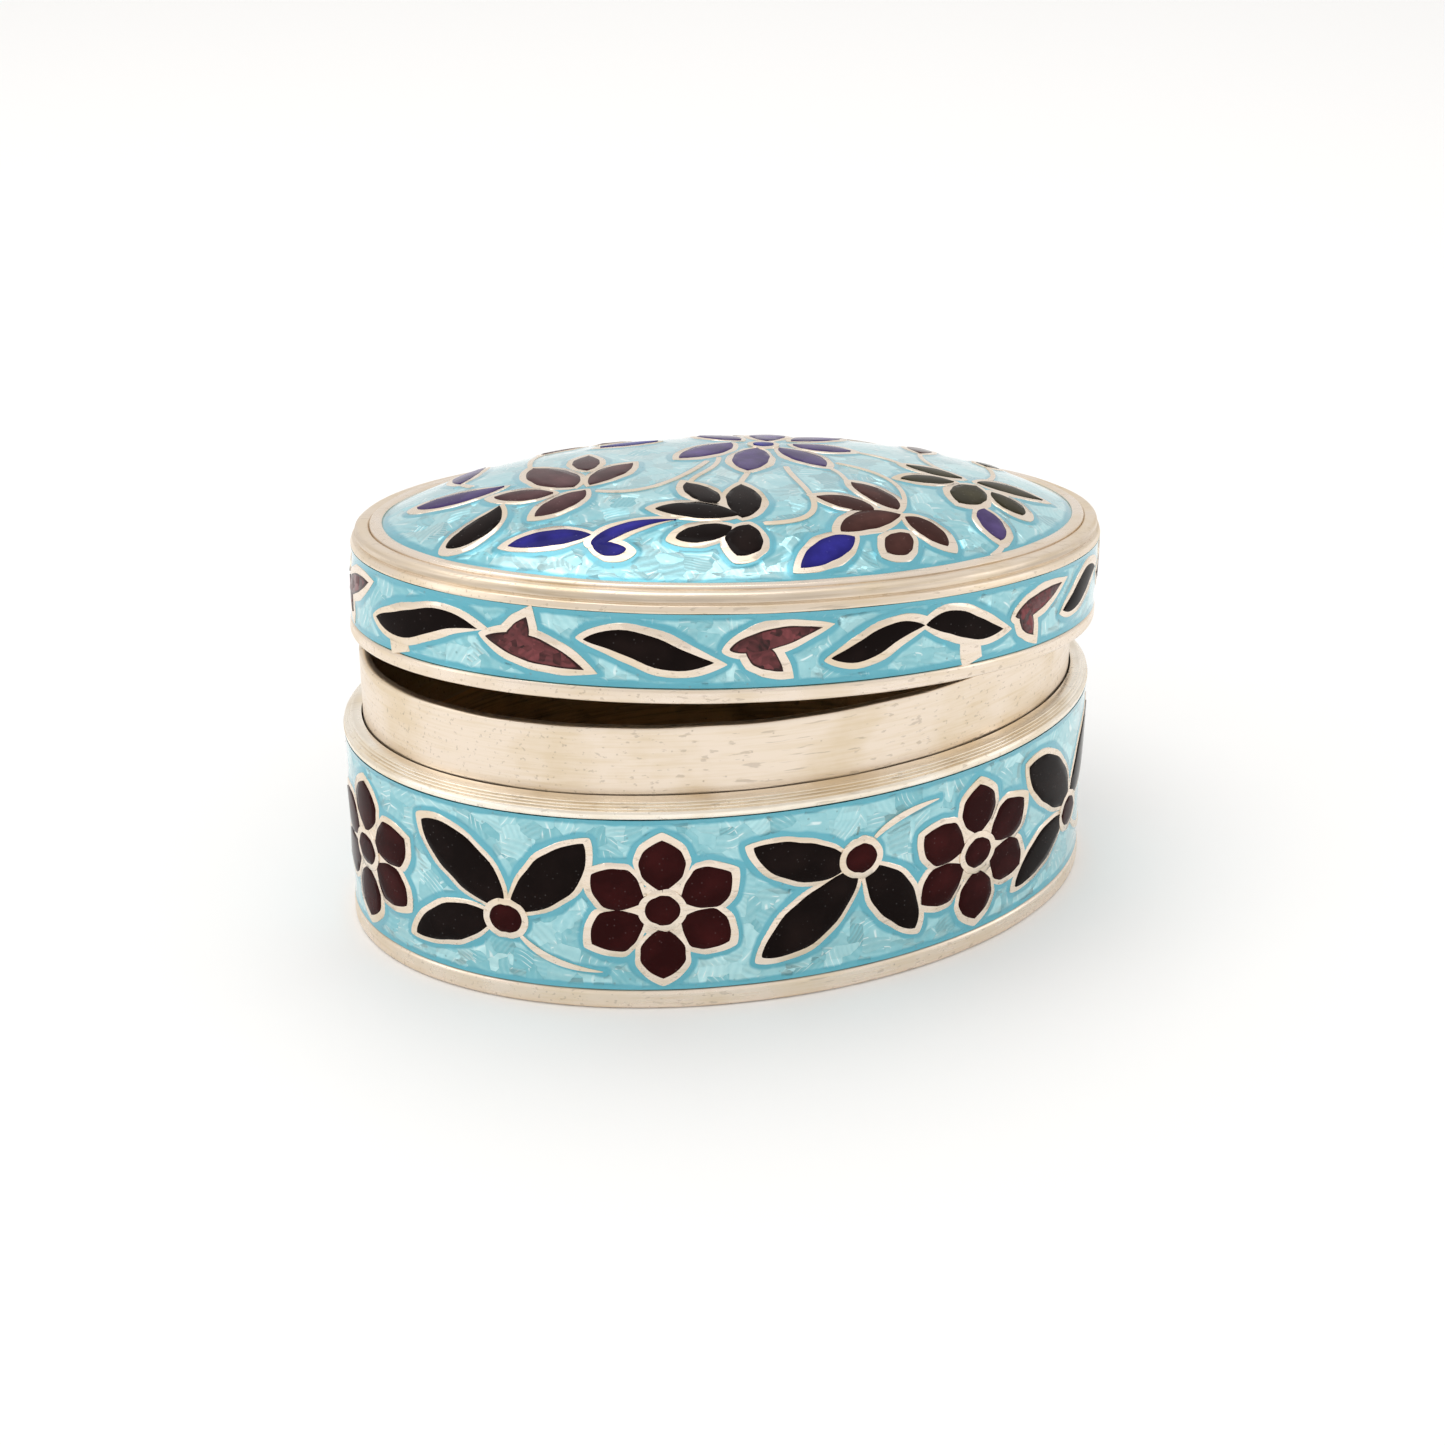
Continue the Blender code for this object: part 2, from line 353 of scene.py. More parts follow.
def disc(x, y, radius):
    """A round cell, set a little higher so that its ring of silver cuts its neighbours."""
    return Cell((x - radius, y), (x + radius, y), radius, 0.0, 0.5, 1.0, EYE_LIFT)


def loft_cells(cells, border, foot, rim, crown, place):
    """Loft every cell as a closed pillow and join them into one set of arrays.

    The spine is a quadratic curve whose middle control point stands off by twice the
    bend, plus a sway that is one sine wave to the side. The half-width is
    t^a (1 - t)^b, scaled to its greatest value, with a and b from the peak and the
    point. Across the spine the top rises from rim by crown times one less the share
    squared, and the underside is flat at foot."""
    t = 0.5 * (1.0 - np.cos(math.pi * np.linspace(0.0, 1.0, SPINE_STEPS)))[None, :]
    base = np.array([cell.base for cell in cells]) * MM
    tip = np.array([cell.tip for cell in cells]) * MM
    width, bend, peak, point, lift, sway = (
        np.array([getattr(cell, field) for cell in cells])[:, None]
        for field in ("half_width", "bend", "peak", "point", "lift", "sway")
    )
    run = tip - base
    ahead = run / np.linalg.norm(run, axis=1, keepdims=True)
    base = base - ahead * border
    tip = tip + ahead * border * np.where(point > POINTED, TIP_STRETCH, 1.0)
    side = np.column_stack([-ahead[:, 1], ahead[:, 0]])
    control = (base + tip) / 2 + side * (2 * bend * MM)
    t3 = t[..., None]
    spine = ((1 - t3) ** 2 * base[:, None] + 2 * t3 * (1 - t3) * control[:, None]
             + t3 ** 2 * tip[:, None])
    spine = spine + side[:, None] * (sway[:, :, None] * MM) * np.sin(2 * math.pi * t3)
    tangent = np.gradient(spine, axis=1)
    tangent /= np.linalg.norm(tangent, axis=2, keepdims=True)
    normal = np.stack([-tangent[..., 1], tangent[..., 0]], axis=-1)
    a, b = point * peak, point * (1 - peak)
    shape = t ** a * (1 - t) ** b / (peak ** a * (1 - peak) ** b)
    count = np.arange(len(cells))[:, None]
    wave = sum(size * np.sin(pace * t + shift * count) for size, pace, shift in WAVERS)
    half = (width * MM + border) * shape * (1 + wave)
    top = rim + crown * (1 - ACROSS ** 2)
    top[[1, -2]] -= EDGE_EASE * min(border if border else rim - foot, rim - foot)
    top[[0, -1]] = foot
    plan = spine[:, :, None] + normal[:, :, None] * (
        half[:, :, None, None] * ACROSS[None, None, :, None])
    lift = LAYER_STEP * (count % LAYERS) + lift * MM
    height = np.broadcast_to(top + lift[..., None], plan.shape[:3])
    points = place(plan[..., 0], plan[..., 1], height)
    for end in (0, -1):
        points[:, end] = points[:, end].mean(axis=1, keepdims=True)
    one = grid_faces(SPINE_STEPS, len(ACROSS), False, True)
    first = SPINE_STEPS * len(ACROSS) * np.arange(len(cells))[:, None, None]
    faces = (one[None] + first).reshape(-1, 4)
    middle = (1 - ACROSS ** 2) * np.minimum(1.0, shape * 1.2)[..., None]
    edges = np.concatenate([plan[:, :, 1], plan[:, :, -2]], axis=1)
    return points.reshape(-1, 3), faces, middle.ravel(), edges


def tapered_wires(wires, foot, rim, place):
    """Loft silver tendrils. Each is a smooth curve through three or four given
    points, blended by the Bernstein weights, with a half-width that grows and fades."""
    all_points, all_faces = [], []
    t = np.linspace(0.0, 1.0, WIRE_STEPS)
    one = grid_faces(WIRE_STEPS, len(WIRE_ACROSS), False, True)
    top = np.array([foot, rim, rim + WIRE_CREST, rim, foot])
    for number, (route, half_width, blunt) in enumerate(wires):
        route = np.array(route) * MM
        degree = len(route) - 1
        weights = np.stack([
            math.comb(degree, k) * t ** k * (1 - t) ** (degree - k)
            for k in range(degree + 1)
        ])
        line = np.einsum("kt,kc->tc", weights, route)
        tangent = np.gradient(line, axis=0)
        tangent /= np.linalg.norm(tangent, axis=1, keepdims=True)
        normal = np.column_stack([-tangent[:, 1], tangent[:, 0]])
        fade = np.ones(WIRE_STEPS) if blunt else np.sin(math.pi * (0.12 + 0.88 * t)) ** 0.7
        half = half_width * MM * np.maximum(fade, 0.02)
        plan = line[:, None] + normal[:, None] * (half[:, None, None] * WIRE_ACROSS[:, None])
        height = np.broadcast_to(top, plan.shape[:2])
        points = close_poles(place(plan[..., 0], plan[..., 1], height))
        all_points.append(points.reshape(-1, 3))
        all_faces.append(one + number * WIRE_STEPS * len(WIRE_ACROSS))
    return np.concatenate(all_points), np.concatenate(all_faces)


FINER = 5


def gap_to_metal(x, y, outlines, wrap=None):
    """Distance from each grid point to the nearest outline point, up to the margin's
    reach. wrap is the distance after which x comes round again."""
    reach = MARGIN_REACH * MM
    gap = np.full(x.shape, reach)
    for outline in outlines:
        step = np.arange(len(outline))
        fine = np.linspace(0, len(outline) - 1, FINER * len(outline))
        outline = np.column_stack([np.interp(fine, step, outline[:, k]) for k in (0, 1)])
        centre = outline.mean(axis=0)
        shifted = x - centre[0]
        if wrap:
            shifted = np.mod(shifted + wrap / 2, wrap) - wrap / 2
        local = outline - centre
        span = np.abs(local).max(axis=0) + reach
        close = (np.abs(shifted) < span[0]) & (np.abs(y - centre[1]) < span[1])
        if not close.any():
            continue
        dx = shifted[close][:, None] - local[None, :, 0]
        dy = (y[close] - centre[1])[:, None] - local[None, :, 1]
        gap[close] = np.minimum(gap[close], np.sqrt((dx ** 2 + dy ** 2).min(axis=1)))
    return gap


# Base: six flowers and six sprigs, placed by their distance round the oval
FLOWER_PLACES = (-27.3, -8.0, 11.35, 31.8, 52.2, 72.7)
SPRIG_PLACES = (-16.85, 3.35, 20.8, 42.0, 62.4, 82.9)
FLOWER_HEIGHT = 6.38
EYE_RADIUS = 0.98
HUB = 1.55  # radius of the silver under a flower's eye
PETAL_FOOT = 1.12
PETAL_HALF_WIDTH = 1.39
EYE_WIDEN = 1.3
PETAL_TIPS = ((0.0, 4.35), (3.8, 2.15), (3.7, -2.2), (0.0, -4.4), (-3.95, -2.2), (-3.9, 2.2))
PETAL_BENDS = (0.0, -0.10, 0.10, 0.0, -0.10, 0.10)
SPRIG_EYE = 0.95
STEM = 0.25  # half-width of a stem's widest place


def base_flowers():
    """Give the petals and the round eyes of the base's flowers."""
    petals, eyes = [], []
    for place in FLOWER_PLACES:
        for (dx, dz), bend in zip(PETAL_TIPS, PETAL_BENDS):
            reach = math.hypot(dx, dz)
            inner = PETAL_FOOT / reach
            petals.append(Cell(
                (place + dx * inner, FLOWER_HEIGHT + dz * inner),
                (place + dx, FLOWER_HEIGHT + dz), PETAL_HALF_WIDTH, bend, 0.53, 1.8))
        eyes.append(disc(place, FLOWER_HEIGHT, EYE_RADIUS))
    return petals, eyes


def base_sprigs():
    """Give the leaves, eyes and stems of the sprigs, ring low and ring high in turn."""
    leaves, eyes, stems = [], [], []
    for number, s in enumerate(SPRIG_PLACES):
        if number % 2 == 0:
            leaves += [
                Cell((s - 0.15, 5.9), (s - 5.2, 10.3), 1.50, -0.30, 0.52, 1.5),
                Cell((s + 0.3, 5.9), (s + 4.55, 10.45), 1.40, -0.24, 0.50, 1.5),
                Cell((s - 0.6, 5.2), (s - 6.0, 2.75), 1.18, -0.32, 0.50, 1.55),
            ]
            eyes.append(disc(s, 5.25, SPRIG_EYE))
            stems.append((((s + 0.8, 4.3), (s + 2.3, 2.5), (s + 5.6, 2.35)), STEM, False))
        else:
            leaves += [
                Cell((s - 0.6, 8.1), (s - 6.3, 9.9), 1.30, 0.36, 0.48, 1.55),
                Cell((s - 0.2, 7.6), (s - 5.8, 2.9), 1.45, 0.28, 0.50, 1.5),
                Cell((s + 0.35, 7.6), (s + 3.6, 2.8), 1.26, 0.20, 0.50, 1.4),
            ]
            eyes.append(disc(s, 8.25, SPRIG_EYE))
            stems.append((((s + 0.8, 9.3), (s + 2.2, 10.6), (s + 5.1, 10.75)), STEM, False))
    return leaves, eyes, stems


# Lid's side: leaves and buds that alternate, leaning up and down
VINE_LEAVES = (
    Cell((-27.0, 2.45), (-19.6, 3.35), 0.80, 0.16, 0.42, 1.75, 0.0, -0.30),
    Cell((-13.7, 3.45), (-6.7, 2.35), 0.82, 0.10, 0.48, 1.75, 0.0, 0.24),
    Cell((-0.2, 2.3), (5.45, 3.6), 0.68, 0.06, 0.48, 1.7, 0.0, -0.22),
    Cell((5.55, 3.6), (11.2, 2.5), 0.76, 0.12, 0.45, 1.7, 0.0, 0.18),
    Cell((17.0, 2.35), (22.0, 3.75), 0.76, 0.12, 0.5, 1.75, 0.0, -0.2),
)
VINE_BUDS = (
    (Cell((-32.4, 2.5), (-28.0, 4.1), 0.62, 0.12, 0.45, 1.7),
     Cell((-32.1, 3.4), (-30.8, 1.6), 0.50, 0.0, 0.45, 1.6)),
    (Cell((-19.1, 3.05), (-13.6, 1.75), 0.74, 0.20, 0.45, 1.8),
     Cell((-17.6, 2.4), (-16.8, 4.4), 0.70, 0.0, 0.35, 1.5)),
    (Cell((-5.9, 3.05), (-0.8, 4.1), 0.60, 0.08, 0.40, 1.7),
     Cell((-5.0, 3.2), (-2.9, 1.75), 0.66, 0.05, 0.40, 1.6)),
    (Cell((12.2, 3.0), (16.5, 4.15), 0.58, -0.05, 0.40, 1.7),
     Cell((12.7, 3.3), (13.9, 1.6), 0.58, 0.0, 0.40, 1.6)),
)
VINE_WIDEN = 1.45
BACK_STEP = 12.92
BACK_UNITS = 5
BACK_START = 22.8
BUD_AFTER = 0.3
LEAF_AFTER = 5.7


def moved(cells, start):
    """Move cells round the oval so that the first one's base lies at start."""
    shift = start - cells[0].base[0]
    return [cell._replace(base=(cell.base[0] + shift, cell.base[1]),
                          tip=(cell.tip[0] + shift, cell.tip[1])) for cell in cells]


def lid_vine():
    """Give the vine's leaves and buds: the front's as set, and the back's by repeating
    a bud and a leaf at even steps round the rest of the oval."""
    leaves = list(VINE_LEAVES)
    buds = [lobe for bud in VINE_BUDS for lobe in bud]
    for unit in range(BACK_UNITS):
        start = BACK_START + unit * BACK_STEP
        leaves += moved([VINE_LEAVES[unit % 2]], start + LEAF_AFTER)
        buds += moved(VINE_BUDS[1 + unit % 3], start + BUD_AFTER)
    return leaves, buds


# Dome: sprays of five petals round a middle flower, in the lid's own x and y
DOME_CELLS = {
    "aubergine": (
        Cell((-10.5, -1.9), (-11.4, 2.9), 1.42, 0.12, 0.45, 1.60),
        Cell((-9.6, -2.0), (-6.0, 1.1), 0.85, 0.14, 0.5, 1.70),
        Cell((-11.8, -2.3), (-14.8, -0.9), 0.83, 0.10, 0.5, 1.50),
        Cell((-10.1, -2.8), (-13.6, -4.7), 0.85, 0.14, 0.5, 1.60),
        Cell((-8.9, 0.7), (-7.7, 4.0), 0.83, 0.10, 0.45, 1.60),
        Cell((-9.3, 7.7), (-6.0, 10.2), 0.87, 0.12, 0.45, 1.60),
        Cell((-5.4, 8.6), (-3.3, 11.3), 0.87, -0.1, 0.45, 1.60),
    ),
    "black": (
        Cell((-3.8, -6.8), (-4.4, -3.5), 0.89, 0.06, 0.45, 1.50),
        Cell((-3.0, -8.7), (-1.5, -4.5), 1.04, -0.12, 0.45, 1.55),
        Cell((-3.1, -8.4), (-7.3, -6.6), 0.94, -0.14, 0.5, 1.55),
        Cell((-3.9, -9.5), (-7.2, -9.7), 0.78, 0.06, 0.5, 1.40),
        Cell((-2.9, -9.5), (-4.4, -11.7), 1.07, 0.08, 0.5, 1.40),
        Cell((-14.9, -2.3), (-18.6, -4.7), 0.90, 0.62, 0.60, 1.60),
        Cell((3.5, 9.8), (6.7, 10.9), 0.76, 0.1, 0.45, 1.60),
        Cell((2.6, 9.6), (0.3, 11.2), 0.76, -0.1, 0.45, 1.60),
    ),
    "brown": (
        Cell((6.4, -8.5), (5.0, -5.0), 0.89, -0.10, 0.45, 1.50),
        Cell((4.9, -8.6), (2.1, -6.9), 0.81, -0.08, 0.45, 1.50),
        Cell((6.3, -9.1), (2.1, -10.6), 0.83, -0.26, 0.5, 1.50),
        Cell((6.5, -9.3), (8.2, -11.5), 0.83, 0.16, 0.5, 1.50),
        Cell((6.1, -10.8), (4.2, -12.2), 0.76, 0.08, 0.5, 1.40),
        Cell((12.4, 1.8), (13.9, 6.0), 0.78, -0.16, 0.5, 1.70),
        Cell((9.7, 7.7), (12.8, 8.5), 0.78, 0.1, 0.5, 1.60),
    ),
    "olive": (
        Cell((11.8, -4.3), (8.4, -4.3), 0.70, -0.10, 0.5, 1.60),
        Cell((13.5, -3.9), (17.6, -4.4), 0.78, 0.10, 0.45, 1.70),
        Cell((12.7, -3.5), (9.9, -1.7), 0.68, 0.10, 0.5, 1.60),
        Cell((13.1, -4.6), (10.8, -7.2), 1.09, 0.06, 0.5, 1.40),
        Cell((13.8, -5.2), (14.8, -7.4), 0.92, 0.06, 0.55, 1.35),
        Cell((16.4, 0.9), (18.1, 3.3), 0.72, 0.1, 0.45, 1.60),
    ),
    "purple": (
        Cell((2.3, 2.8), (-0.1, -1.9), 1.14, -0.10, 0.5, 1.55),
        Cell((3.6, 2.6), (4.7, -1.9), 0.96, 0.10, 0.5, 1.55),
        Cell((1.3, 4.5), (-3.0, 1.6), 1.04, 0.12, 0.48, 1.55),
        Cell((4.8, 3.4), (7.7, 1.4), 0.94, -0.10, 0.5, 1.55),
        Cell((3.7, 4.8), (5.5, 8.8), 1.14, 0.08, 0.5, 1.55),
        Cell((5.2, 4.6), (9.0, 6.1), 0.93, 0.08, 0.5, 1.55),
        Cell((2.2, 5.3), (0.9, 8.8), 1.04, 0.08, 0.5, 1.55),
        Cell((-13.8, 0.5), (-18.5, 1.8), 0.93, 0.45, 0.6, 1.50),
        Cell((-15.5, 3.7), (-12.6, 8.5), 0.76, 0.3, 0.45, 1.60),
        Cell((12.2, -7.6), (12.0, -10.4), 0.85, -0.06, 0.5, 1.50),
    ),
    "cobalt": (
        Cell((-11.4, -7.9), (-15.7, -6.7), 0.74, -0.12, 0.5, 1.65),
        Cell((-11.6, -8.8), (-6.6, -8.1), 0.50, 0.52, 0.28, 1.50),
        Cell((-11.5, -8.5), (-10.0, -9.7), 0.55, -0.30, 0.55, 1.40),
        Cell((2.7, -11.1), (-1.2, -13.0), 0.78, -0.06, 0.45, 1.60),
        Cell((-2.5, 6.7), (-6.2, 6.5), 0.68, -0.12, 0.5, 1.65),
    ),
}
DOME_WIDEN = 1.15
DOME_EYES = ((3.0, 3.6, 0.62),)
DOME_STEMS = (
    (((-9.7, -2.9), (-7.3, -4.9), (-4.6, -3.1), (-1.4, 0.9)), 0.19, True),
    (((-4.3, -3.7), (-3.5, -1.9), (-1.5, -1.3), (-0.6, 1.5)), 0.17, True),
    (((-1.5, -4.5), (-1.2, -3.5), (-0.3, -2.7), (-0.0, -1.7)), 0.19, True),
    (((2.5, -1.2), (1.2, -5.3), (3.5, -10.2), (-2.3, -9.4)), 0.20, True),
    (((4.7, -1.9), (5.3, -3.2), (4.8, -4.2), (4.9, -5.2)), 0.17, True),
    (((5.5, -1.0), (8.5, -3.9), (7.9, -6.7), (6.7, -8.5)), 0.17, True),
    (((7.6, 1.4), (9.1, 0.5), (9.4, -0.5), (9.8, -1.6)), 0.17, True),
    (((12.5, -3.4), (11.2, -0.8), (11.8, 0.6), (12.5, 2.0)), 0.17, True),
    (((-11.5, 3.1), (-11.0, 5.3), (-10.3, 6.5), (-9.3, 7.6)), 0.17, True),
    (((12.1, -10.4), (11.9, -11.0), (11.5, -11.3), (10.8, -11.8)), 0.17, True),
    (((-15.2, 2.2), (-15.4, 2.8), (-15.5, 3.3), (-15.5, 3.9)), 0.2, True),
    (((8.9, 6.2), (9.3, 6.7), (9.5, 7.1), (9.7, 7.7)), 0.17, True),
    (((13.6, -3.8), (15.6, -2.7), (16.0, -0.9), (16.4, 0.8)), 0.17, True),
)


# ---------------------------------------------------------------- shader helpers


def fill(tree, made, inputs):
    """Link each input that is given a socket, and set each that is given a value."""
    for key, value in inputs.items():
        if isinstance(value, bpy.types.NodeSocket):
            tree.links.new(value, made.inputs[key])
        else:
            made.inputs[key].default_value = value


def node(tree, kind, inputs=None, out=0, **settings):
    """Add a shader node, set or link its inputs, and give one of its outputs."""
    made = tree.nodes.new("ShaderNode" + kind)
    for key, value in settings.items():
        setattr(made, key, value)
    fill(tree, made, inputs or {})
    return made.outputs[out]


def arith(tree, operation, first, second=0.0, third=0.0):
    """One sum on two or three values."""
    return node(tree, "Math", {0: first, 1: second, 2: third}, operation=operation)


def vector(tree, operation, first, second=(0.0, 0.0, 0.0), out=0):
    """One sum on two vectors."""
    return node(tree, "VectorMath", {0: first, 1: second}, out, operation=operation)


def remap(tree, value, low, high, to_low=0.0, to_high=1.0):
    """Carry a value from one range to another, held within it."""
    return node(tree, "MapRange", {0: value, 1: low, 2: high, 3: to_low, 4: to_high})


def blend(tree, factor, first, second):
    """Mix two colours."""
    return node(tree, "Mix", {0: factor, 6: first, 7: second}, 2, data_type="RGBA")


def noise(tree, place, scale, detail=2.0, out=0):
    """Noise at a scale in cycles per metre."""
    return node(tree, "TexNoise", {"Vector": place, "Scale": scale, "Detail": detail}, out)


def new_group(name, inputs, outputs):
    """Start a shader node group, and give its tree, its inputs and its output node."""
    tree = bpy.data.node_groups.new(name, "ShaderNodeTree")
    for label, kind, default in inputs:
        socket = tree.interface.new_socket(label, in_out="INPUT", socket_type=kind)
        socket.default_value = default
    for label in outputs:
        tree.interface.new_socket(label, in_out="OUTPUT", socket_type="NodeSocketFloat")
    enter = tree.nodes.new("NodeGroupInput").outputs
    return tree, enter, tree.nodes.new("NodeGroupOutput")


def placed_group(tree, name, inputs):
    """Put a node group in a material and give its outputs."""
    made = tree.nodes.new("ShaderNodeGroup")
    made.node_tree = bpy.data.node_groups[name]
    fill(tree, made, inputs)
    return made.outputs


PIT_DEPTH = -0.006 * MM
SCRATCH_DEPTH = -0.004 * MM


def make_worn_metal_group():
    """Wear on hand-raised metal.

    Height adds broad dents (noise), fine rubbing lines (noise squeezed along the
    height), slanting scratches and a few pits (small Voronoi cells). Tarnish is a soft
    patchy noise with streaks. The darkening output is the marked seams, hollows and
    edges, broken up by a noise: painted shade there, with some real dirt. It adds a
    little more darkening in the pits and the scratches, as real dirt."""
    tree, enter, leave = new_group(
        "Hand-worn metal",
        [("Position", "NodeSocketVector", (0, 0, 0)), ("Shade and grime", "NodeSocketFloat", 0.0),
         ("Dent height", "NodeSocketFloat", 0.02 * MM),
         ("Line height", "NodeSocketFloat", 0.002 * MM)],
        ["Height", "Tarnish", "Dirt and shade"])
    place = enter["Position"]
    dents = arith(tree, "MULTIPLY", noise(tree, place, 330.0, 1.0), enter["Dent height"])
    flat = vector(tree, "MULTIPLY", place, (0.12, 0.12, 2.2))
    lines = arith(tree, "MULTIPLY", noise(tree, flat, 4200.0, 3.0), enter["Line height"])
    slant = node(tree, "Mapping", {"Vector": place, "Rotation": (0.5, 0.9, 0.4),
                                   "Scale": (0.07, 1.6, 1.0)})
    scratch = noise(tree, slant, 4300.0, 3.0)
    scratch = remap(tree, scratch, 0.62, 0.67, 0.0, SCRATCH_DEPTH)
    pits = node(tree, "TexVoronoi", {"Vector": place, "Scale": 1150.0})
    pits = remap(tree, pits, 0.03, 0.09, PIT_DEPTH, 0.0)
    raised = arith(tree, "ADD", dents, lines)
    sunk = arith(tree, "ADD", scratch, pits)
    patch = remap(tree, noise(tree, place, 210.0, 6.0), 0.48, 0.72)
    streak = remap(tree, noise(tree, flat, 2600.0, 4.0), 0.45, 0.75, 0.0, 0.7)
    broken = remap(tree, noise(tree, flat, 1500.0, 4.0), 0.3, 0.62)
    pitted = remap(tree, pits, PIT_DEPTH, 0.0, 0.36, 0.0)
    scored = remap(tree, scratch, SCRATCH_DEPTH, 0.0, 0.24, 0.0)
    fill(tree, leave, {
        "Height": arith(tree, "ADD", raised, sunk),
        "Tarnish": arith(tree, "MINIMUM", arith(tree, "ADD", patch, streak), 1.0),
        # Painted shade in the marked seams and hollows, with real dirt in the pits and
        # scratches
        "Dirt and shade": arith(tree, "MAXIMUM", arith(tree, "MULTIPLY", enter["Shade and grime"], broken),
                      arith(tree, "MAXIMUM", pitted, scored)),
    })


HALFWAY = (0.5, 0.5, 0.5)
HATCH_PACE = 42000.0  # radians of hatching for each metre along the tilt


def make_chased_bed_group():
    """The chased silver bed seen through the turquoise glass.

    Each Voronoi cell is one cut facet. Its bed height is the dot product of the place
    within the cell and the cell's random tilt, with fine hatching added: a sine along
    the tilt. Glint is a painted facet highlight: the cell's random brightness with the
    hatching and a fine noise, which lightens the colour. Bubbles are small round spots.
    Sparkle is a painted highlight: the crest of the hatching in a few places.
    Rim is 1 beside the silver, where the bed was cut smooth, and stops a wavering
    distance from it, in millimetres. Cloud is a slow noise."""
    tree, enter, leave = new_group(
        "Chased bed",
        [("Position", "NodeSocketVector", (0, 0, 0)), ("Facets", "NodeSocketFloat", 1250.0),
         ("Edge distance", "NodeSocketFloat", 1.0)],
        ["Height", "Glint", "Bubbles", "Rim", "Cloud", "Sparkle"])
    place = enter["Position"]
    stirred = noise(tree, place, 420.0, 1.0, 1)
    stirred = vector(tree, "MULTIPLY", vector(tree, "SUBTRACT", stirred, HALFWAY),
                     (0.9 * MM,) * 3)
    stirred = vector(tree, "ADD", place, stirred)
    cells = node(tree, "TexVoronoi", {"Vector": stirred, "Scale": enter["Facets"]},
                 distance="CHEBYCHEV").node.outputs
    tilt = vector(tree, "SUBTRACT", cells["Color"], HALFWAY)
    within = vector(tree, "SUBTRACT", stirred, cells["Position"])
    slope = vector(tree, "DOT_PRODUCT", within, tilt, 1)
    hatch = arith(tree, "SINE", arith(tree, "MULTIPLY", slope, HATCH_PACE))
    fine = noise(tree, place, 2600.0, 3.0)
    bed = arith(tree, "ADD", arith(tree, "MULTIPLY", slope, 0.62),
                arith(tree, "MULTIPLY", hatch, 0.006 * MM))
    bed = arith(tree, "ADD", bed, arith(tree, "MULTIPLY", fine, 0.02 * MM))
    distance = arith(tree, "MULTIPLY_ADD", noise(tree, place, 620.0, 2.0), -0.42,
                     enter["Edge distance"])
    inside = remap(tree, distance, -0.02, 0.50)
    lined = arith(tree, "MULTIPLY_ADD", hatch, 0.10,
                  node(tree, "SeparateXYZ", {0: cells["Color"]}))
    lined = arith(tree, "MULTIPLY_ADD", fine, 0.5, arith(tree, "SUBTRACT", lined, 0.25))
    bubbles = node(tree, "TexVoronoi", {"Vector": place, "Scale": 1150.0})
    lit = remap(tree, noise(tree, place, 900.0, 1.0), 0.52, 0.60)
    crest = arith(tree, "MULTIPLY", remap(tree, hatch, 0.82, 0.97), lit)
    fill(tree, leave, {
        "Height": arith(tree, "MULTIPLY", bed, inside),
        # Glint and Sparkle are painted highlights, mixed into the colour
        "Glint": remap(tree, lined, 0.0, 1.05),
        "Bubbles": remap(tree, bubbles, 0.05, 0.11, 1.0, 0.0),
        "Rim": remap(tree, distance, 0.06, 0.20, 1.0, 0.0),
        "Cloud": remap(tree, noise(tree, place, 160.0, 4.0), 0.35, 0.7),
        "Sparkle": arith(tree, "MULTIPLY", crest, inside),
    })


def make_glaze_group():
    """Marks in the dark glass: a cloudy noise, which breaks up the painted highlight in the
    cells' middles, fine bubbles and a slow surface swell.
    """
    tree, enter, leave = new_group(
        "Glaze highlight and bubbles", [("Position", "NodeSocketVector", (0, 0, 0))],
        ["Cloud", "Bubbles", "Swell"])
    place = enter["Position"]
    spots = node(tree, "TexVoronoi", {"Vector": place, "Scale": 2600.0})
    fill(tree, leave, {
        "Cloud": remap(tree, noise(tree, place, 420.0, 5.0), 0.42, 0.68),
        "Bubbles": remap(tree, spots, 0.06, 0.16, 1.0, 0.0),
        "Swell": arith(tree, "MULTIPLY", noise(tree, place, 260.0, 1.0), 0.07 * MM),
    })


def start_material(name, on_lid_body):
    """Start a material and give its tree, its shader and its place on the body: plain
    Object coordinates, or for the lid the same carried back to the lid's own frame."""
    material = bpy.data.materials.new(name)
    material.use_nodes = True
    tree = material.node_tree
    shader = tree.nodes["Principled BSDF"]
    place = node(tree, "TexCoord", out=3)
    if on_lid_body:
        turn = Matrix(LID[:3, :3].tolist()).to_euler()
        place = node(tree, "Mapping", {"Vector": place, "Location": LID[:3, 3],
                                       "Rotation": turn}, vector_type="TEXTURE")
    return material, tree, shader, place


def attribute(tree, name):
    """Read one of the piece's own point values."""
    return node(tree, "Attribute", out=2, attribute_name=name)


def bump(tree, height):
    """Turn a height in metres into a normal."""
    return node(tree, "Bump", {"Height": height, "Strength": 1.0, "Distance": 1.0})


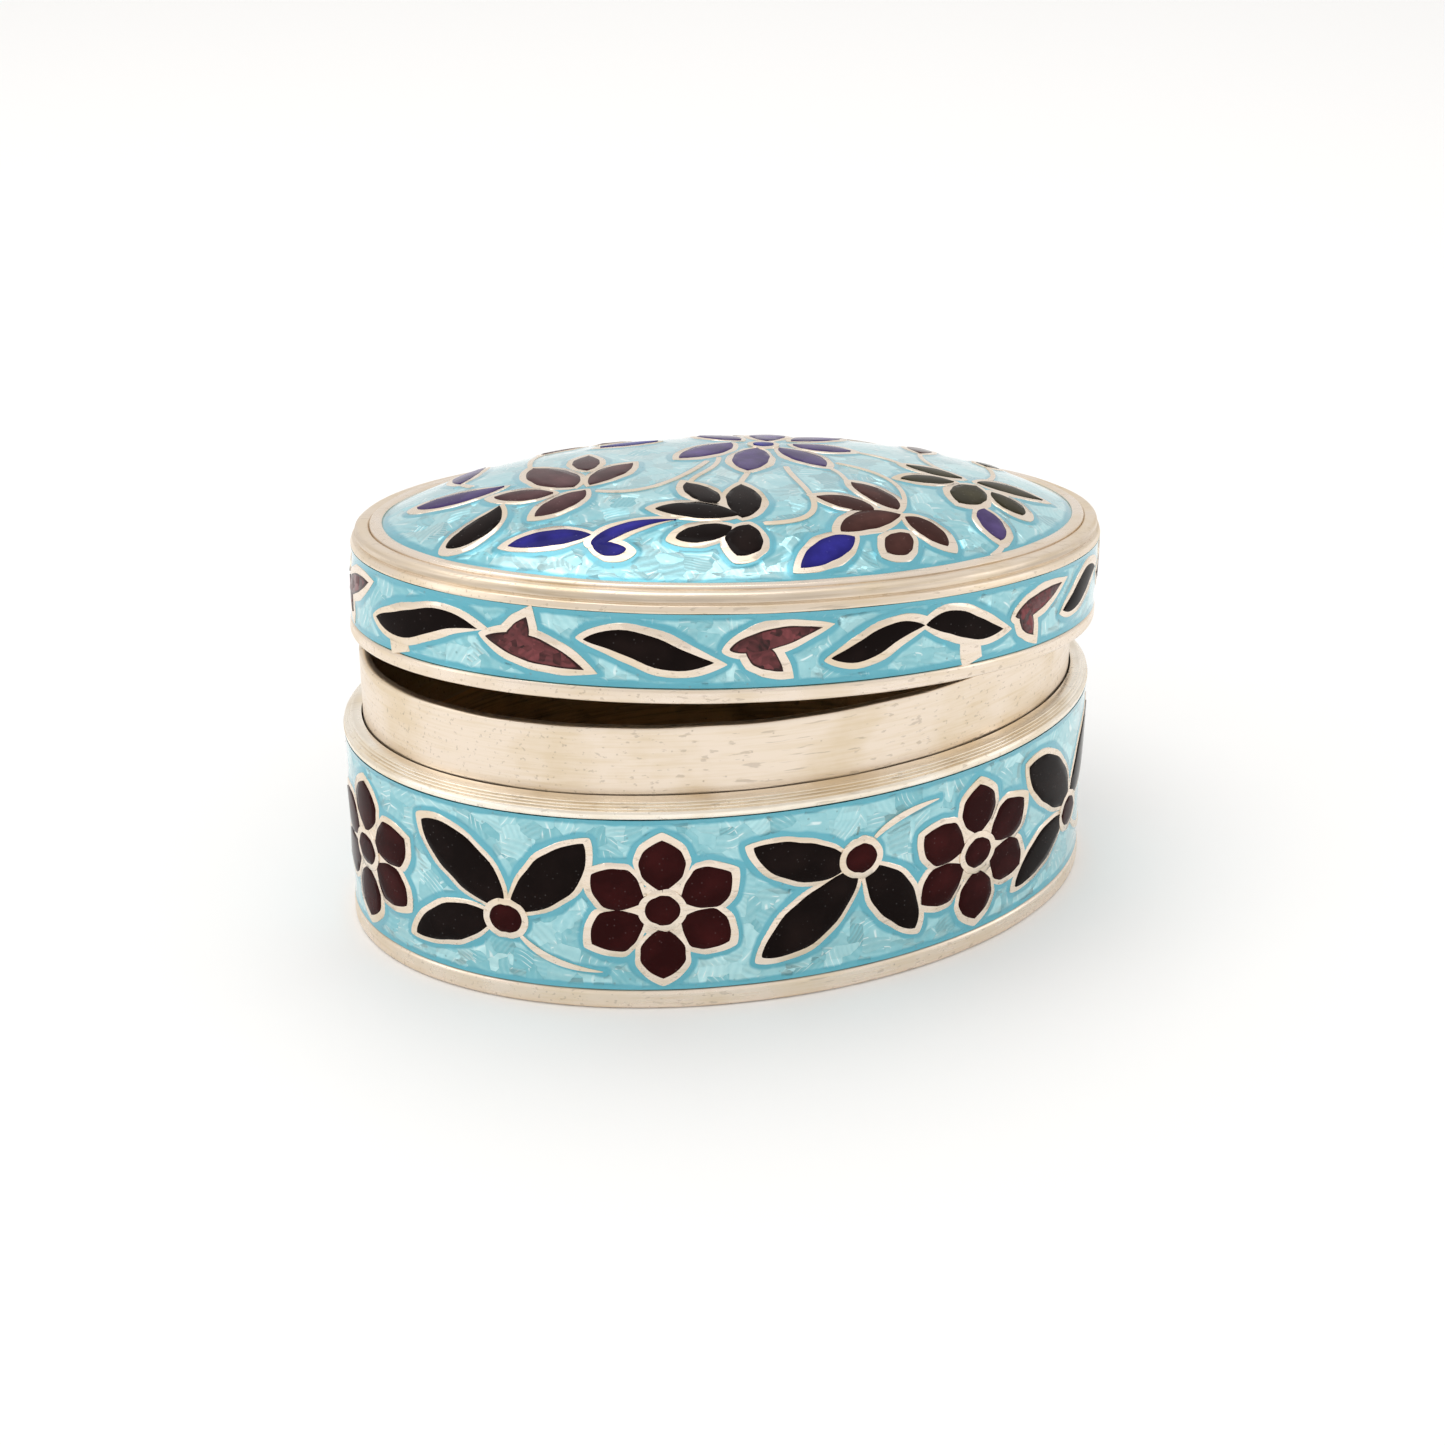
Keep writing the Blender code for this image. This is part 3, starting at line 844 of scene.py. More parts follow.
def silver(name, on_lid_body, roughness, dents, warmth=0.0, tint=None):
    """Silver that hands have rubbed: bright and warm, with tarnish in soft patches, dark
    dirt in the pits and scratches, and the seams painted darker: painted shade with some
    dirt. dents is the height of the dents in millimetres."""
    metal = bpy.context.scene.pill_box_metal
    material, tree, shader, place = start_material(name, on_lid_body)
    wear = placed_group(tree, "Hand-worn metal", {
        "Position": place, "Shade and grime": attribute(tree, "shade_and_grime"), "Dent height": dents * MM})
    colour = blend(tree, arith(tree, "MULTIPLY_ADD", wear["Tarnish"], 0.55, warmth),
                   (*(tint or metal.silver), 1.0), (*metal.tarnish, 1.0))
    rough = arith(tree, "MULTIPLY_ADD", wear["Tarnish"], 0.14, roughness)
    fill(tree, shader, {
        # Painted shade in the marked seams, with real dirt in the pits and scratches
        "Base Color": blend(tree, wear["Dirt and shade"], colour, (*metal.dirt_and_shade, 1.0)),
        "Roughness": arith(tree, "MULTIPLY_ADD", wear["Dirt and shade"], 0.35, rough),
        "Normal": bump(tree, wear["Height"]),
        "Metallic": 1.0,
    })
    return material


def turquoise(name, on_lid_body):
    """Turquoise glass over a chased silver bed: metallic facets under a smooth coat."""
    enamel = bpy.context.scene.pill_box_enamel
    material, tree, shader, place = start_material(name, on_lid_body)
    bed = placed_group(tree, "Chased bed", {
        "Position": place, "Facets": 1.0 / enamel.facet_size,
        "Edge distance": attribute(tree, "edge_distance")})
    # Painted facet highlight: by the glint, lit facets are lighter and turned facets darker
    colour = blend(tree, bed["Glint"], (*enamel.ground_mid, 1.0), (*enamel.ground_lit_facet, 1.0))
    # Sparkle adds small painted highlights; cloud, rim and bubbles are the glass's own colour
    for share, factor, tone in (("Cloud", 0.45, enamel.ground_mid),
                                ("Rim", 1.0, enamel.ground_deep),
                                ("Bubbles", 0.5, enamel.ground_pale),
                                ("Sparkle", 0.8, enamel.ground_glint)):
        share = arith(tree, "MULTIPLY", bed[share], factor)
        colour = blend(tree, share, colour, (*tone, 1.0))
    fill(tree, shader, {
        "Base Color": colour,
        "Metallic": remap(tree, bed["Glint"], 0.0, 1.0, 0.30, 0.80),
        "Roughness": remap(tree, bed["Bubbles"], 0.0, 1.0, 0.30, 0.55),
        "Normal": bump(tree, bed["Height"]),
        "Coat Weight": 1.0,
        "Coat Roughness": 0.06,
        "Coat IOR": 1.55,
    })
    return material


def dark_glass(name, on_lid_body, colour):
    """Dark glossy glass: deep at the edge, with a painted highlight that lightens the
    middle of each cell, broken up by a cloudy noise, and pin bubbles and a slow swell."""
    material, tree, shader, place = start_material(name, on_lid_body)
    glaze = placed_group(tree, "Glaze highlight and bubbles", {"Position": place})
    lighter = tuple(min(1.0, 2.2 * c + 0.002) for c in colour)
    palest = tuple(min(1.0, c + 0.09) for c in lighter)
    # Painted highlight: the middle of each cell lightened, broken up by the cloud
    depth = arith(tree, "MULTIPLY", attribute(tree, "middle"), glaze["Cloud"])
    shade = blend(tree, depth, (*colour, 1.0), (*lighter, 1.0))
    spots = arith(tree, "MULTIPLY", glaze["Bubbles"], 0.35)
    fill(tree, shader, {
        "Base Color": blend(tree, spots, shade, (*palest, 1.0)),
        "Roughness": remap(tree, glaze["Cloud"], 0.0, 1.0, 0.12, 0.26),
        "Normal": bump(tree, glaze["Swell"]),
        "IOR": 1.5,
        "Specular IOR Level": 0.03,
        "Coat Weight": 0.06,
        "Coat Roughness": 0.04,
    })
    return material


def bud_glass(name, on_lid_body, dark, light):
    """Thin red glass over a chased bed, so the cut facets show through it; the facets' glint
    is painted into the colour as a highlight.
    """
    material, tree, shader, place = start_material(name, on_lid_body)
    bed = placed_group(tree, "Chased bed", {
        "Position": place, "Facets": 1900.0, "Edge distance": attribute(tree, "middle")})
    # Painted facet highlight: lit facets are a lighter red
    colour = blend(tree, bed["Glint"], (*dark, 1.0), (*light, 1.0))
    fill(tree, shader, {
        "Base Color": blend(tree, bed["Rim"], colour, (*dark, 1.0)),
        "Metallic": remap(tree, bed["Glint"], 0.0, 1.0, 0.2, 0.7),
        "Normal": bump(tree, bed["Height"]),
        "Roughness": 0.35,
        "Specular IOR Level": 0.2,
        "Coat Weight": 0.3,
        "Coat Roughness": 0.05,
    })
    return material


def inside_metal(name, on_lid_body):
    """The duller, warmer metal inside the box."""
    metal = bpy.context.scene.pill_box_metal
    material, tree, shader, place = start_material(name, on_lid_body)
    wear = placed_group(tree, "Hand-worn metal", {
        "Position": place, "Shade and grime": attribute(tree, "shade_and_grime"), "Dent height": 0.05 * MM})
    colour = blend(tree, wear["Tarnish"], (*metal.gilt, 1.0),
                   (*(0.55 * c for c in metal.gilt), 1.0))
    fill(tree, shader, {
        # Painted shade at the marked floor edge and seams, with real dirt in the pits and
        # scratches
        "Base Color": blend(tree, wear["Dirt and shade"], colour, (*metal.dirt_and_shade, 1.0)),
        "Roughness": remap(tree, wear["Tarnish"], 0.0, 1.0, 0.38, 0.55),
        "Normal": bump(tree, wear["Height"]),
        "Metallic": 0.8,
    })
    return material


# ---------------------------------------------------------------- building the pieces

SILVER_FOOT = -0.24
SILVER_TOP = -0.030
GLASS_FOOT = -0.20
GLASS_RIM = -0.018
GLASS_CROWN = 0.040
GROUND_DEPTH = 0.10
MENISCUS = 0.055
MENISCUS_WIDTH = 0.16
SWELL = 0.012
GRID_STEP = 0.15 * MM
MARGIN_REACH = 1.5
WIRE_DROP = 0.008  # how far a stem lies below the silver of the cells
DOME_SPOKES = 620
DOME_ROLL = 0.985  # share of the oval radius where the dome's edge starts to round
DOME_ROLL_DROP = 0.08
UNDER_STEP = 20  # the underside keeps one ring in this many
PLATE_SPOKES = 360
PLATE_RINGS = 40
PLATE_SHRINK = 0.72 * MM
PLATE_TOP = 0.42 * MM
PLATE_UNDER = 0.85 * MM
FLOOR_SAG = 0.10 * MM


def set_cells(name, cells, place, material):
    """Lay the glass of a group of cells as one piece."""
    points, faces, middle, _ = loft_cells(
        cells, 0.0, GLASS_FOOT * MM, GLASS_RIM * MM, GLASS_CROWN * MM, place)
    add_piece(name, points, faces, material, BODY_UNDER[place], {"middle": middle})


def set_borders(name, cells, wires, place, material, widen=1.0):
    """Lay the silver under and round a group of cells, with their stems."""
    border = bpy.context.scene.pill_box_metal.border * widen
    points, faces, _, _ = loft_cells(
        cells, border, SILVER_FOOT * MM, SILVER_TOP * MM, 0.0, place)
    if wires:
        more, more_faces = tapered_wires(
            wires, SILVER_FOOT * MM, (SILVER_TOP - WIRE_DROP) * MM, place)
        faces = np.concatenate([faces, more_faces + len(points)])
        points = np.concatenate([points, more])
    layers = {"shade_and_grime": np.zeros(len(points))}
    add_piece(name, points, faces, material, BODY_UNDER[place], layers)


def flat_map(x, y, height):
    """Map of the plan itself, for outlines that are measured and not built."""
    return np.stack(np.broadcast_arrays(x, y, height), axis=-1)


def border_outlines(cells, wires, widen):
    """Give the plan outlines of the silver, for the distance from it."""
    border = bpy.context.scene.pill_box_metal.border * widen
    edges = list(loft_cells(cells, border, -MM, 0.0, 0.0, flat_map)[3])
    points = tapered_wires(wires, -MM, 0.0, flat_map)[0]
    middle = len(WIRE_ACROSS) // 2
    points = points.reshape(len(wires), -1, len(WIRE_ACROSS), 3)
    return edges + [wire[:, middle, :2] for wire in points]


def wall_ground(name, section, wall_map, cells, wires, stands_for, material, widen=1.0):
    """The ground glass on a wall: a sleeve whose face lies below the silver, with its
    level drawn up beside the silver as exp(-distance / meniscus width)."""
    rows = int(PERIMETER / GRID_STEP)
    columns = int((section.top - section.bottom) / GRID_STEP)
    around = np.linspace(0.0, PERIMETER, rows, endpoint=False)[:, None]
    height = np.linspace(section.bottom, section.top, columns)[None, :]
    x, y = np.broadcast_arrays(around, height)
    gap = gap_to_metal(x, y, border_outlines(cells, wires, widen), PERIMETER)
    gap = np.minimum(gap, np.minimum(height - section.bottom, section.top - height))
    drawn_up = MENISCUS * np.exp(-gap / (MENISCUS_WIDTH * MM))
    swell = SWELL * ripple(around, 3, (11, 17, 29)) * np.ones_like(height)
    face = wall_map(x, y, (drawn_up + swell - GROUND_DEPTH) * MM)
    back = wall_map(around, np.array([[section.top, section.bottom]]), -section.inner)
    points = np.concatenate([face, back], axis=1)
    values = np.concatenate([gap, np.zeros((rows, 2))], axis=1) / MM
    faces = grid_faces(rows, columns + 2, True, True)
    add_piece(name, points, faces, material, BODY_UNDER[wall_map],
              {"edge_distance": values}, stands_for)


def polar(radii, spokes):
    """Give the x and y of a polar grid: radius shares by spokes."""
    angle = np.linspace(0.0, 2 * math.pi, spokes, endpoint=False)[None, :]
    return radii[:, None] * np.cos(angle), radii[:, None] * np.sin(angle)


def dome_ground(cells, wires, material):
    """The dome's ground glass: an oval polar sheet on the dome map, closed under."""
    radii = np.concatenate([np.linspace(0.004, DOME_ROLL, 118), np.linspace(0.99, 1.0, 4)])
    x, y = polar(radii, DOME_SPOKES)
    x, y = x * DOME_LENGTH, y * DOME_WIDTH
    gap = gap_to_metal(x, y, border_outlines(cells, wires, DOME_WIDEN))
    margin = (1.0 - radii[:, None]) * DOME_WIDTH
    gap = np.minimum(gap, np.broadcast_to(margin, gap.shape))
    drawn_up = MENISCUS * np.exp(-gap / (MENISCUS_WIDTH * MM))
    roll = np.clip((radii[:, None] - DOME_ROLL) / (1.0 - DOME_ROLL), 0, 1) ** 2
    top = on_dome(x, y, (drawn_up - GROUND_DEPTH - DOME_ROLL_DROP * roll) * MM)
    under = on_dome(x[::-UNDER_STEP], y[::-UNDER_STEP], -DOME_THICKNESS)
    points = close_poles(np.concatenate([top, under]))
    values = np.concatenate([gap, np.zeros(x[::-UNDER_STEP].shape)]) / MM
    faces = grid_faces(len(points), DOME_SPOKES, False, True)
    add_piece("lid_dome_ground", points, faces, material, "lid",
              {"edge_distance": values}, "lid_dome_enamel")


def dome_plate(material):
    """The thin plate under the dome: the dome's own curve lowered, then a flange. The
    flange's corners are (how far out, height above the side band) in millimetres."""
    shares = np.linspace(0.01, 0.975, PLATE_RINGS)
    curve = dome_height(shares * DOME_LENGTH, 0.0)
    reach = DOME_LENGTH - PLATE_SHRINK
    flange = np.array([(0.0, 0.59), (0.02, 0.29), (0.07, 0.24), (1.08, 0.24),
                       (1.13, 0.19), (1.13, -0.16), (1.08, -0.20), (-0.43, -0.20)]) * MM
    still = np.zeros(PLATE_RINGS)
    spread = np.concatenate([still, flange[:, 0], still])
    share = np.concatenate([shares * 0.99, np.ones(len(flange)), 0.965 * shares[::-1]])
    level = np.concatenate([curve - PLATE_TOP, LID_BAND.top + flange[:, 1],
                            curve[::-1] - PLATE_UNDER])
    half_length = share * reach + spread
    half_width = share * (reach - HALF_LENGTH + HALF_WIDTH) + spread
    x, y = polar(np.ones(len(share)), PLATE_SPOKES)
    x, y = x * half_length[:, None], y * half_width[:, None]
    points = close_poles(flat_map(x, y, level[:, None]))
    faces = grid_faces(len(points), PLATE_SPOKES, False, True)
    add_piece("lid_plate", to_rest(points), faces, material, "lid",
              {"shade_and_grime": np.zeros(points.shape[:2])}, "lid_dome_plate")


def floor_plate(material):
    """The base's floor: an oval disc with an eased edge and a slight hand-beaten sag."""
    low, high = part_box("base_floor")
    shares = np.concatenate([np.linspace(0.01, 0.97, PLATE_RINGS),
                             [0.99, 1.0, 1.0, 0.99, 0.01]])
    sag = -FLOOR_SAG * np.cos(shares[:PLATE_RINGS + 1] * math.pi / 2)
    edge = [high.z, high.z - 0.1 * MM, low.z + 0.1 * MM, low.z]
    level = np.concatenate([high.z + sag, edge])
    x, y = polar(shares, PLATE_SPOKES)
    points = close_poles(flat_map(x * high.x, y * high.y, level[:, None]))
    faces = grid_faces(len(points), PLATE_SPOKES, False, True)
    # The floor darkens towards its edge, where it meets the wall: painted shade with some
    # dirt
    shade_and_grime = np.clip((np.broadcast_to(shares[:, None], x.shape) - 0.9) / 0.1, 0, 1)
    add_piece("base_floor_plate", points, faces, material, "base",
              {"shade_and_grime": shade_and_grime}, "base_floor")


def corner_loop(level, *corners):
    """Rounded loop from (depth, height above the level, radius) corners in millimetres."""
    return rounded_loop([(depth * MM, level + height * MM, radius * MM)
                         for depth, height, radius in corners])


def box_loop(section, radius):
    """A section's plain loop with eased corners."""
    return rounded_loop([
        (section.outer, section.bottom, radius), (section.outer, section.top, radius),
        (section.inner, section.top, radius), (section.inner, section.bottom, radius)])


# ---------------------------------------------------------------- sizes and colours


def colour_setting(label, use, default):
    """A colour property with its label, its use and its default."""
    return bpy.props.FloatVectorProperty(
        name=label, description=use, default=default, subtype="COLOR", min=0.0, max=1.0)


class PillBoxMetal(bpy.types.PropertyGroup):
    """Sizes and colours of the silver."""

    border: bpy.props.FloatProperty(
        name="Border", description="Width of silver left round each cell",
        default=0.30 * MM, min=0.1 * MM, max=1.0 * MM, unit="LENGTH", precision=5)
    silver: colour_setting("Silver", "Colour of the bright silver", (0.88, 0.765, 0.65))
    # The shoulder's colour is the silver made brighter: painted light against the lid's shade
    lit_solder: colour_setting("Lit solder", "Colour of the soldered shoulder", (1.0, 0.93, 0.82))
    tarnish: colour_setting("Tarnish", "Colour of the duller patches", (0.74, 0.60, 0.40))
    # The dark colour is real dirt in pits and scratches, and painted shade with some dirt in
    # the marked seams and hollows
    dirt_and_shade: colour_setting("Dirt and shade", "Colour of the dirt in seams and pits", (0.16, 0.12, 0.08))
    gilt: colour_setting("Inside", "Colour of the metal inside the box", (0.92, 0.71, 0.47))


class PillBoxEnamel(bpy.types.PropertyGroup):
    """Sizes and colours of the enamels."""

    facet_size: bpy.props.FloatProperty(
        name="Facet size", description="Size of a cut facet in the bed under the ground",
        default=1.25 * MM, min=0.2 * MM, max=3.0 * MM, unit="LENGTH", precision=5)
    # The light ground colour paints lit facets and the sparkle colour small glints: painted
    # highlights. The middle ground colour is the plain tone, also used for facets painted as
    # turned away
    ground_lit_facet: colour_setting("Light ground", "Ground glass over a bright facet",
                               (0.53, 0.84, 0.87))
    ground_mid: colour_setting("Ground", "Ground glass over a turned facet",
                             (0.165, 0.50, 0.57))
    ground_deep: colour_setting("Deep ground", "Ground glass where it pools at the silver",
                              (0.095, 0.42, 0.52))
    ground_glint: colour_setting("Sparkle", "Bright cuts under the ground glass",
                                (0.82, 0.95, 0.95))
    ground_pale: colour_setting("Bubbles", "Small dull bubbles in the ground glass",
                              (0.16, 0.30, 0.33))
    maroon: colour_setting("Maroon", "Glass of the flowers and buds", (0.023, 0.002, 0.002))
    # The red is the buds' glass over a facet painted as lit: a painted highlight
    red: colour_setting("Red", "Glass of the lid's buds over a bright facet",
                      (0.22, 0.055, 0.060))
    black: colour_setting("Black", "Glass of the leaves", (0.005, 0.002, 0.0015))
    purple: colour_setting("Purple", "Glass of the middle flower", (0.060, 0.040, 0.120))
    aubergine: colour_setting("Aubergine", "Glass of the left flower", (0.060, 0.027, 0.029))
    brown: colour_setting("Brown", "Glass of the front right flower", (0.046, 0.017, 0.014))
    olive: colour_setting("Olive", "Glass of the right flower", (0.024, 0.020, 0.008))
    cobalt: colour_setting("Cobalt", "Glass of the blue leaves", (0.016, 0.014, 0.140))


class PillBoxStudio(bpy.types.PropertyGroup):
    """The camera, the lights and the floor."""

    lens: bpy.props.FloatProperty(
        name="Lens", description="Focal length of the camera in millimetres",
        default=68.5, min=20.0, max=200.0, subtype="DISTANCE_CAMERA")
    brightness: bpy.props.FloatProperty(
        name="Brightness", description="Strength of the light all round",
        default=0.86, min=0.0, max=5.0)
    floor: colour_setting("Floor", "Colour of the floor", (0.97, 0.97, 0.965))


# ---------------------------------------------------------------- operators


class PILLBOX_OT_stage(bpy.types.Operator):
    """Set the floor, the lights and the camera."""

    bl_idname = "pillbox.stage"
    bl_label = "Studio"

    def execute(self, context):
        studio = context.scene.pill_box_studio
        make_floor(studio)
        make_lights(studio)
        make_camera(studio)
        make_worn_metal_group()
        make_chased_bed_group()
        make_glaze_group()
        return {"FINISHED"}


CAMERA_PLACE = (-43.3, -140.4, 82.9)
CAMERA_AIM = (0.0, 0.0, 9.86)
FLOOR_HALF = 1.5  # half the floor's side, in metres
FLOOR_GAP = 0.02 * MM


def make_floor(studio):
    """One pale square, just below the underside of the box."""
    mesh = bpy.data.meshes.new("floor")
    corners = [(x * FLOOR_HALF, y * FLOOR_HALF, 0.0)
               for x, y in ((-1, -1), (1, -1), (1, 1), (-1, 1))]
    mesh.from_pydata(corners, [], [(0, 1, 2, 3)])
    material = bpy.data.materials.new("pale floor")
    material.use_nodes = True
    fill(material.node_tree, material.node_tree.nodes["Principled BSDF"],
         {"Base Color": (*studio.floor, 1.0), "Roughness": 0.8})
    mesh.materials.append(material)
    floor = bpy.data.objects.new("floor", mesh)
    floor.location.z = -FLOOR_GAP
    bpy.context.scene.collection.objects.link(floor)


# Soft boxes: name, place, aim, width, depth (millimetres) and power in watts
SOFT_BOXES = (
    ("top", (-40, 60, 330), (0, 0, 0), 320, 220, 0.30),
    ("left", (-330, -60, 170), (0, 0, 10), 200, 260, 0.12),
    ("right", (300, -120, 120), (0, 0, 10), 120, 200, 0.06),
)


def stand_at(scene, thing, place, aim):
    """Put a lamp or a camera at a place in millimetres, turned to face its aim."""
    thing.location = Vector(place) * MM
    direction = (Vector(aim) - Vector(place)) * MM
    thing.rotation_euler = direction.to_track_quat("-Z", "Y").to_euler()
    scene.collection.objects.link(thing)


def make_lights(studio):
    """Soft boxes round the object and an even pale world."""
    scene = bpy.context.scene
    world = bpy.data.worlds.new("studio")
    world.use_nodes = True
    fill(world.node_tree, world.node_tree.nodes["Background"],
         {"Color": (1.0, 0.985, 0.97, 1.0), "Strength": studio.brightness})
    scene.world = world
    for name, place, aim, width, depth, power in SOFT_BOXES:
        light = bpy.data.lights.new("soft box " + name, "AREA")
        light.shape = "RECTANGLE"
        light.size = width * MM
        light.size_y = depth * MM
        light.energy = power
        lamp = bpy.data.objects.new("soft box " + name, light)
        stand_at(scene, lamp, place, aim)
    scene.view_settings.view_transform = "Standard"


def make_camera(studio):
    """A camera in front and to the left, looking a little down on the box."""
    scene = bpy.context.scene
    data = bpy.data.cameras.new("camera")
    data.lens = studio.lens
    data.clip_start = 0.01
    data.clip_end = 10.0
    camera = bpy.data.objects.new("camera", data)
    stand_at(scene, camera, CAMERA_PLACE, CAMERA_AIM)
    scene.camera = camera


SLIGHT_WAVER = 0.012 * MM
BEAD_WAVER = 0.02 * MM


class PILLBOX_OT_base_metal(bpy.types.Operator):
    """Build the base's silver: floor, foot rim, side band, shoulder and collar."""

    bl_idname = "pillbox.base_metal"
    bl_label = "Base silver"

    def execute(self, context):
        bright = silver("base silver", False, roughness=0.24, dents=0.035)
        rubbed = silver("collar silver", False, roughness=0.30, dents=0.06, warmth=0.12)
        # The shoulder's metal is the silver made brighter: painted light against the lid's
        # shade
        lit_solder = silver("shoulder silver", False, roughness=0.24, dents=0.02,
                        tint=context.scene.pill_box_metal.lit_solder)
        inside = inside_metal("inside of the box", False)
        floor_plate(inside)
        loop = corner_loop(FOOT.bottom, (0.10, 0.02, 0.06), (0.0, 0.16, 0.10),
                           (0.0, 1.04, 0.12), (0.16, 1.20, 0.08), (1.08, 1.20, 0.05),
                           (1.08, 0.02, 0.05))
        # The foot ring is painted darker at its seam with the band: painted shade with some
        # dirt
        ring("base_foot_ring", loop, on_base, bright, "base_foot_rim",
             waver=SLIGHT_WAVER, seed=11, shade_and_grime=near(loop, FOOT.top, 0.10 * MM))
        ring("base_wall", box_loop(BAND, 0.04 * MM), on_base, inside, "base_side_band")
        loop, shade_and_grime = shoulder_loop()
        ring("base_shoulder_moulding", loop, on_base, lit_solder, "base_shoulder",
             waver=SLIGHT_WAVER, seed=12, shade_and_grime=shade_and_grime)
        loop = collar_loop()
        # The collar is painted darker where it meets the shoulder: painted shade with some
        # dirt
        ring("base_collar_ring", loop, on_base, rubbed, "base_collar",
             waver=0.05 * MM, seed=13, shade_and_grime=0.22 * near(loop, SHOULDER.top, 0.20 * MM))
        return {"FINISHED"}


REEDS = 4
REED_POINTS = 49
# How dark the reeds' valleys are painted: painted shade with some dirt
REED_SHADE = 0.20


def shoulder_loop():
    """The shoulder's section and its darkening: a plain margin, then fine reeds that
    step inwards, with the reeds' valleys painted darker, painted shade with some dirt.
    The reeds' depth is a cosine taken from the slope."""
    share = np.linspace(0.0, 1.0, REED_POINTS)
    swing = np.cos(2 * REEDS * math.pi * share)
    depth = 0.12 + 0.50 * share - 0.12 * (0.5 - 0.5 * swing)
    face = np.column_stack([depth * MM, SHOULDER.bottom + (0.40 + 0.52 * share) * MM])
    margin = corner_loop(SHOULDER.bottom, (0.06, 0.01, 0.03), (0.02, 0.14, 0.05),
                         (0.03, 0.34, 0.04))
    back = corner_loop(SHOULDER.bottom, (1.08, 0.94, 0.0), (1.08, 0.01, 0.0))
    shade_and_grime = np.concatenate([np.zeros(len(margin)), REED_SHADE * (0.5 + 0.5 * swing),
                            np.zeros(len(back))])
    return np.concatenate([margin, face, back]), shade_and_grime


COLLAR_POINTS = 22
COLLAR_EASE = 0.14 * MM


def collar_loop():
    """The collar's section: two upright faces with points up them, so that it can waver
    and be painted darker near the shoulder (painted shade with some dirt), and a half-round
    top edge."""
    levels = np.linspace(COLLAR.bottom + 0.1 * MM, COLLAR.top - COLLAR_EASE, COLLAR_POINTS)
    top = np.linspace(0, math.pi, 9)[1:-1]
    half = (COLLAR.inner - COLLAR.outer) / 2
    middle = (COLLAR.inner + COLLAR.outer) / 2
    over = np.column_stack([middle - half * np.cos(top),
                            COLLAR.top - COLLAR_EASE + COLLAR_EASE * np.sin(top)])
    out = np.column_stack([np.full(COLLAR_POINTS, COLLAR.outer), levels])
    back = np.column_stack([np.full(COLLAR_POINTS, COLLAR.inner), levels[::-1]])
    return np.concatenate([out, over, back])


class PILLBOX_OT_base_enamel(bpy.types.Operator):
    """Build the base's turquoise ground."""

    bl_idname = "pillbox.base_enamel"
    bl_label = "Base ground"

    def execute(self, context):
        petals, eyes = base_flowers()
        leaves, sprig_eyes, stems = base_sprigs()
        wall_ground("base_ground", BASE_GLAZE, on_base, petals + eyes + leaves + sprig_eyes,
                    stems, "base_side_enamel", turquoise("base turquoise", False))
        return {"FINISHED"}


class PILLBOX_OT_base_flowers(bpy.types.Operator):
    """Build the base's six flowers: silver, maroon petals and eyes."""

    bl_idname = "pillbox.base_flowers"
    bl_label = "Base flowers"

    def execute(self, context):
        enamel = context.scene.pill_box_enamel
        petals, eyes = base_flowers()
        metal = silver("ornament silver", False, roughness=0.22, dents=0.015)
        glass = dark_glass("base maroon glass", False, enamel.maroon)
        hubs = [disc(place, FLOWER_HEIGHT, HUB)._replace(lift=0.0)
                for place in FLOWER_PLACES]
        set_borders("base_flower_silver", petals + hubs, (), on_base, metal)
        set_borders("base_flower_eye_silver", eyes, (), on_base, metal, EYE_WIDEN)
        set_cells("base_flower_glass", petals + eyes, on_base, glass)
        return {"FINISHED"}


class PILLBOX_OT_base_sprigs(bpy.types.Operator):
    """Build the base's six sprigs: silver with stems, black leaves and maroon eyes."""

    bl_idname = "pillbox.base_sprigs"
    bl_label = "Base sprigs"

    def execute(self, context):
        enamel = context.scene.pill_box_enamel
        leaves, eyes, stems = base_sprigs()
        metal = bpy.data.materials["ornament silver"]
        set_borders("base_sprig_silver", leaves, stems, on_base, metal)
        set_borders("base_sprig_eye_silver", eyes, (), on_base, metal, EYE_WIDEN)
        set_cells("base_leaf_glass", leaves, on_base,
                  dark_glass("base black glass", False, enamel.black))
        set_cells("base_eye_glass", eyes, on_base, bpy.data.materials["base maroon glass"])
        return {"FINISHED"}


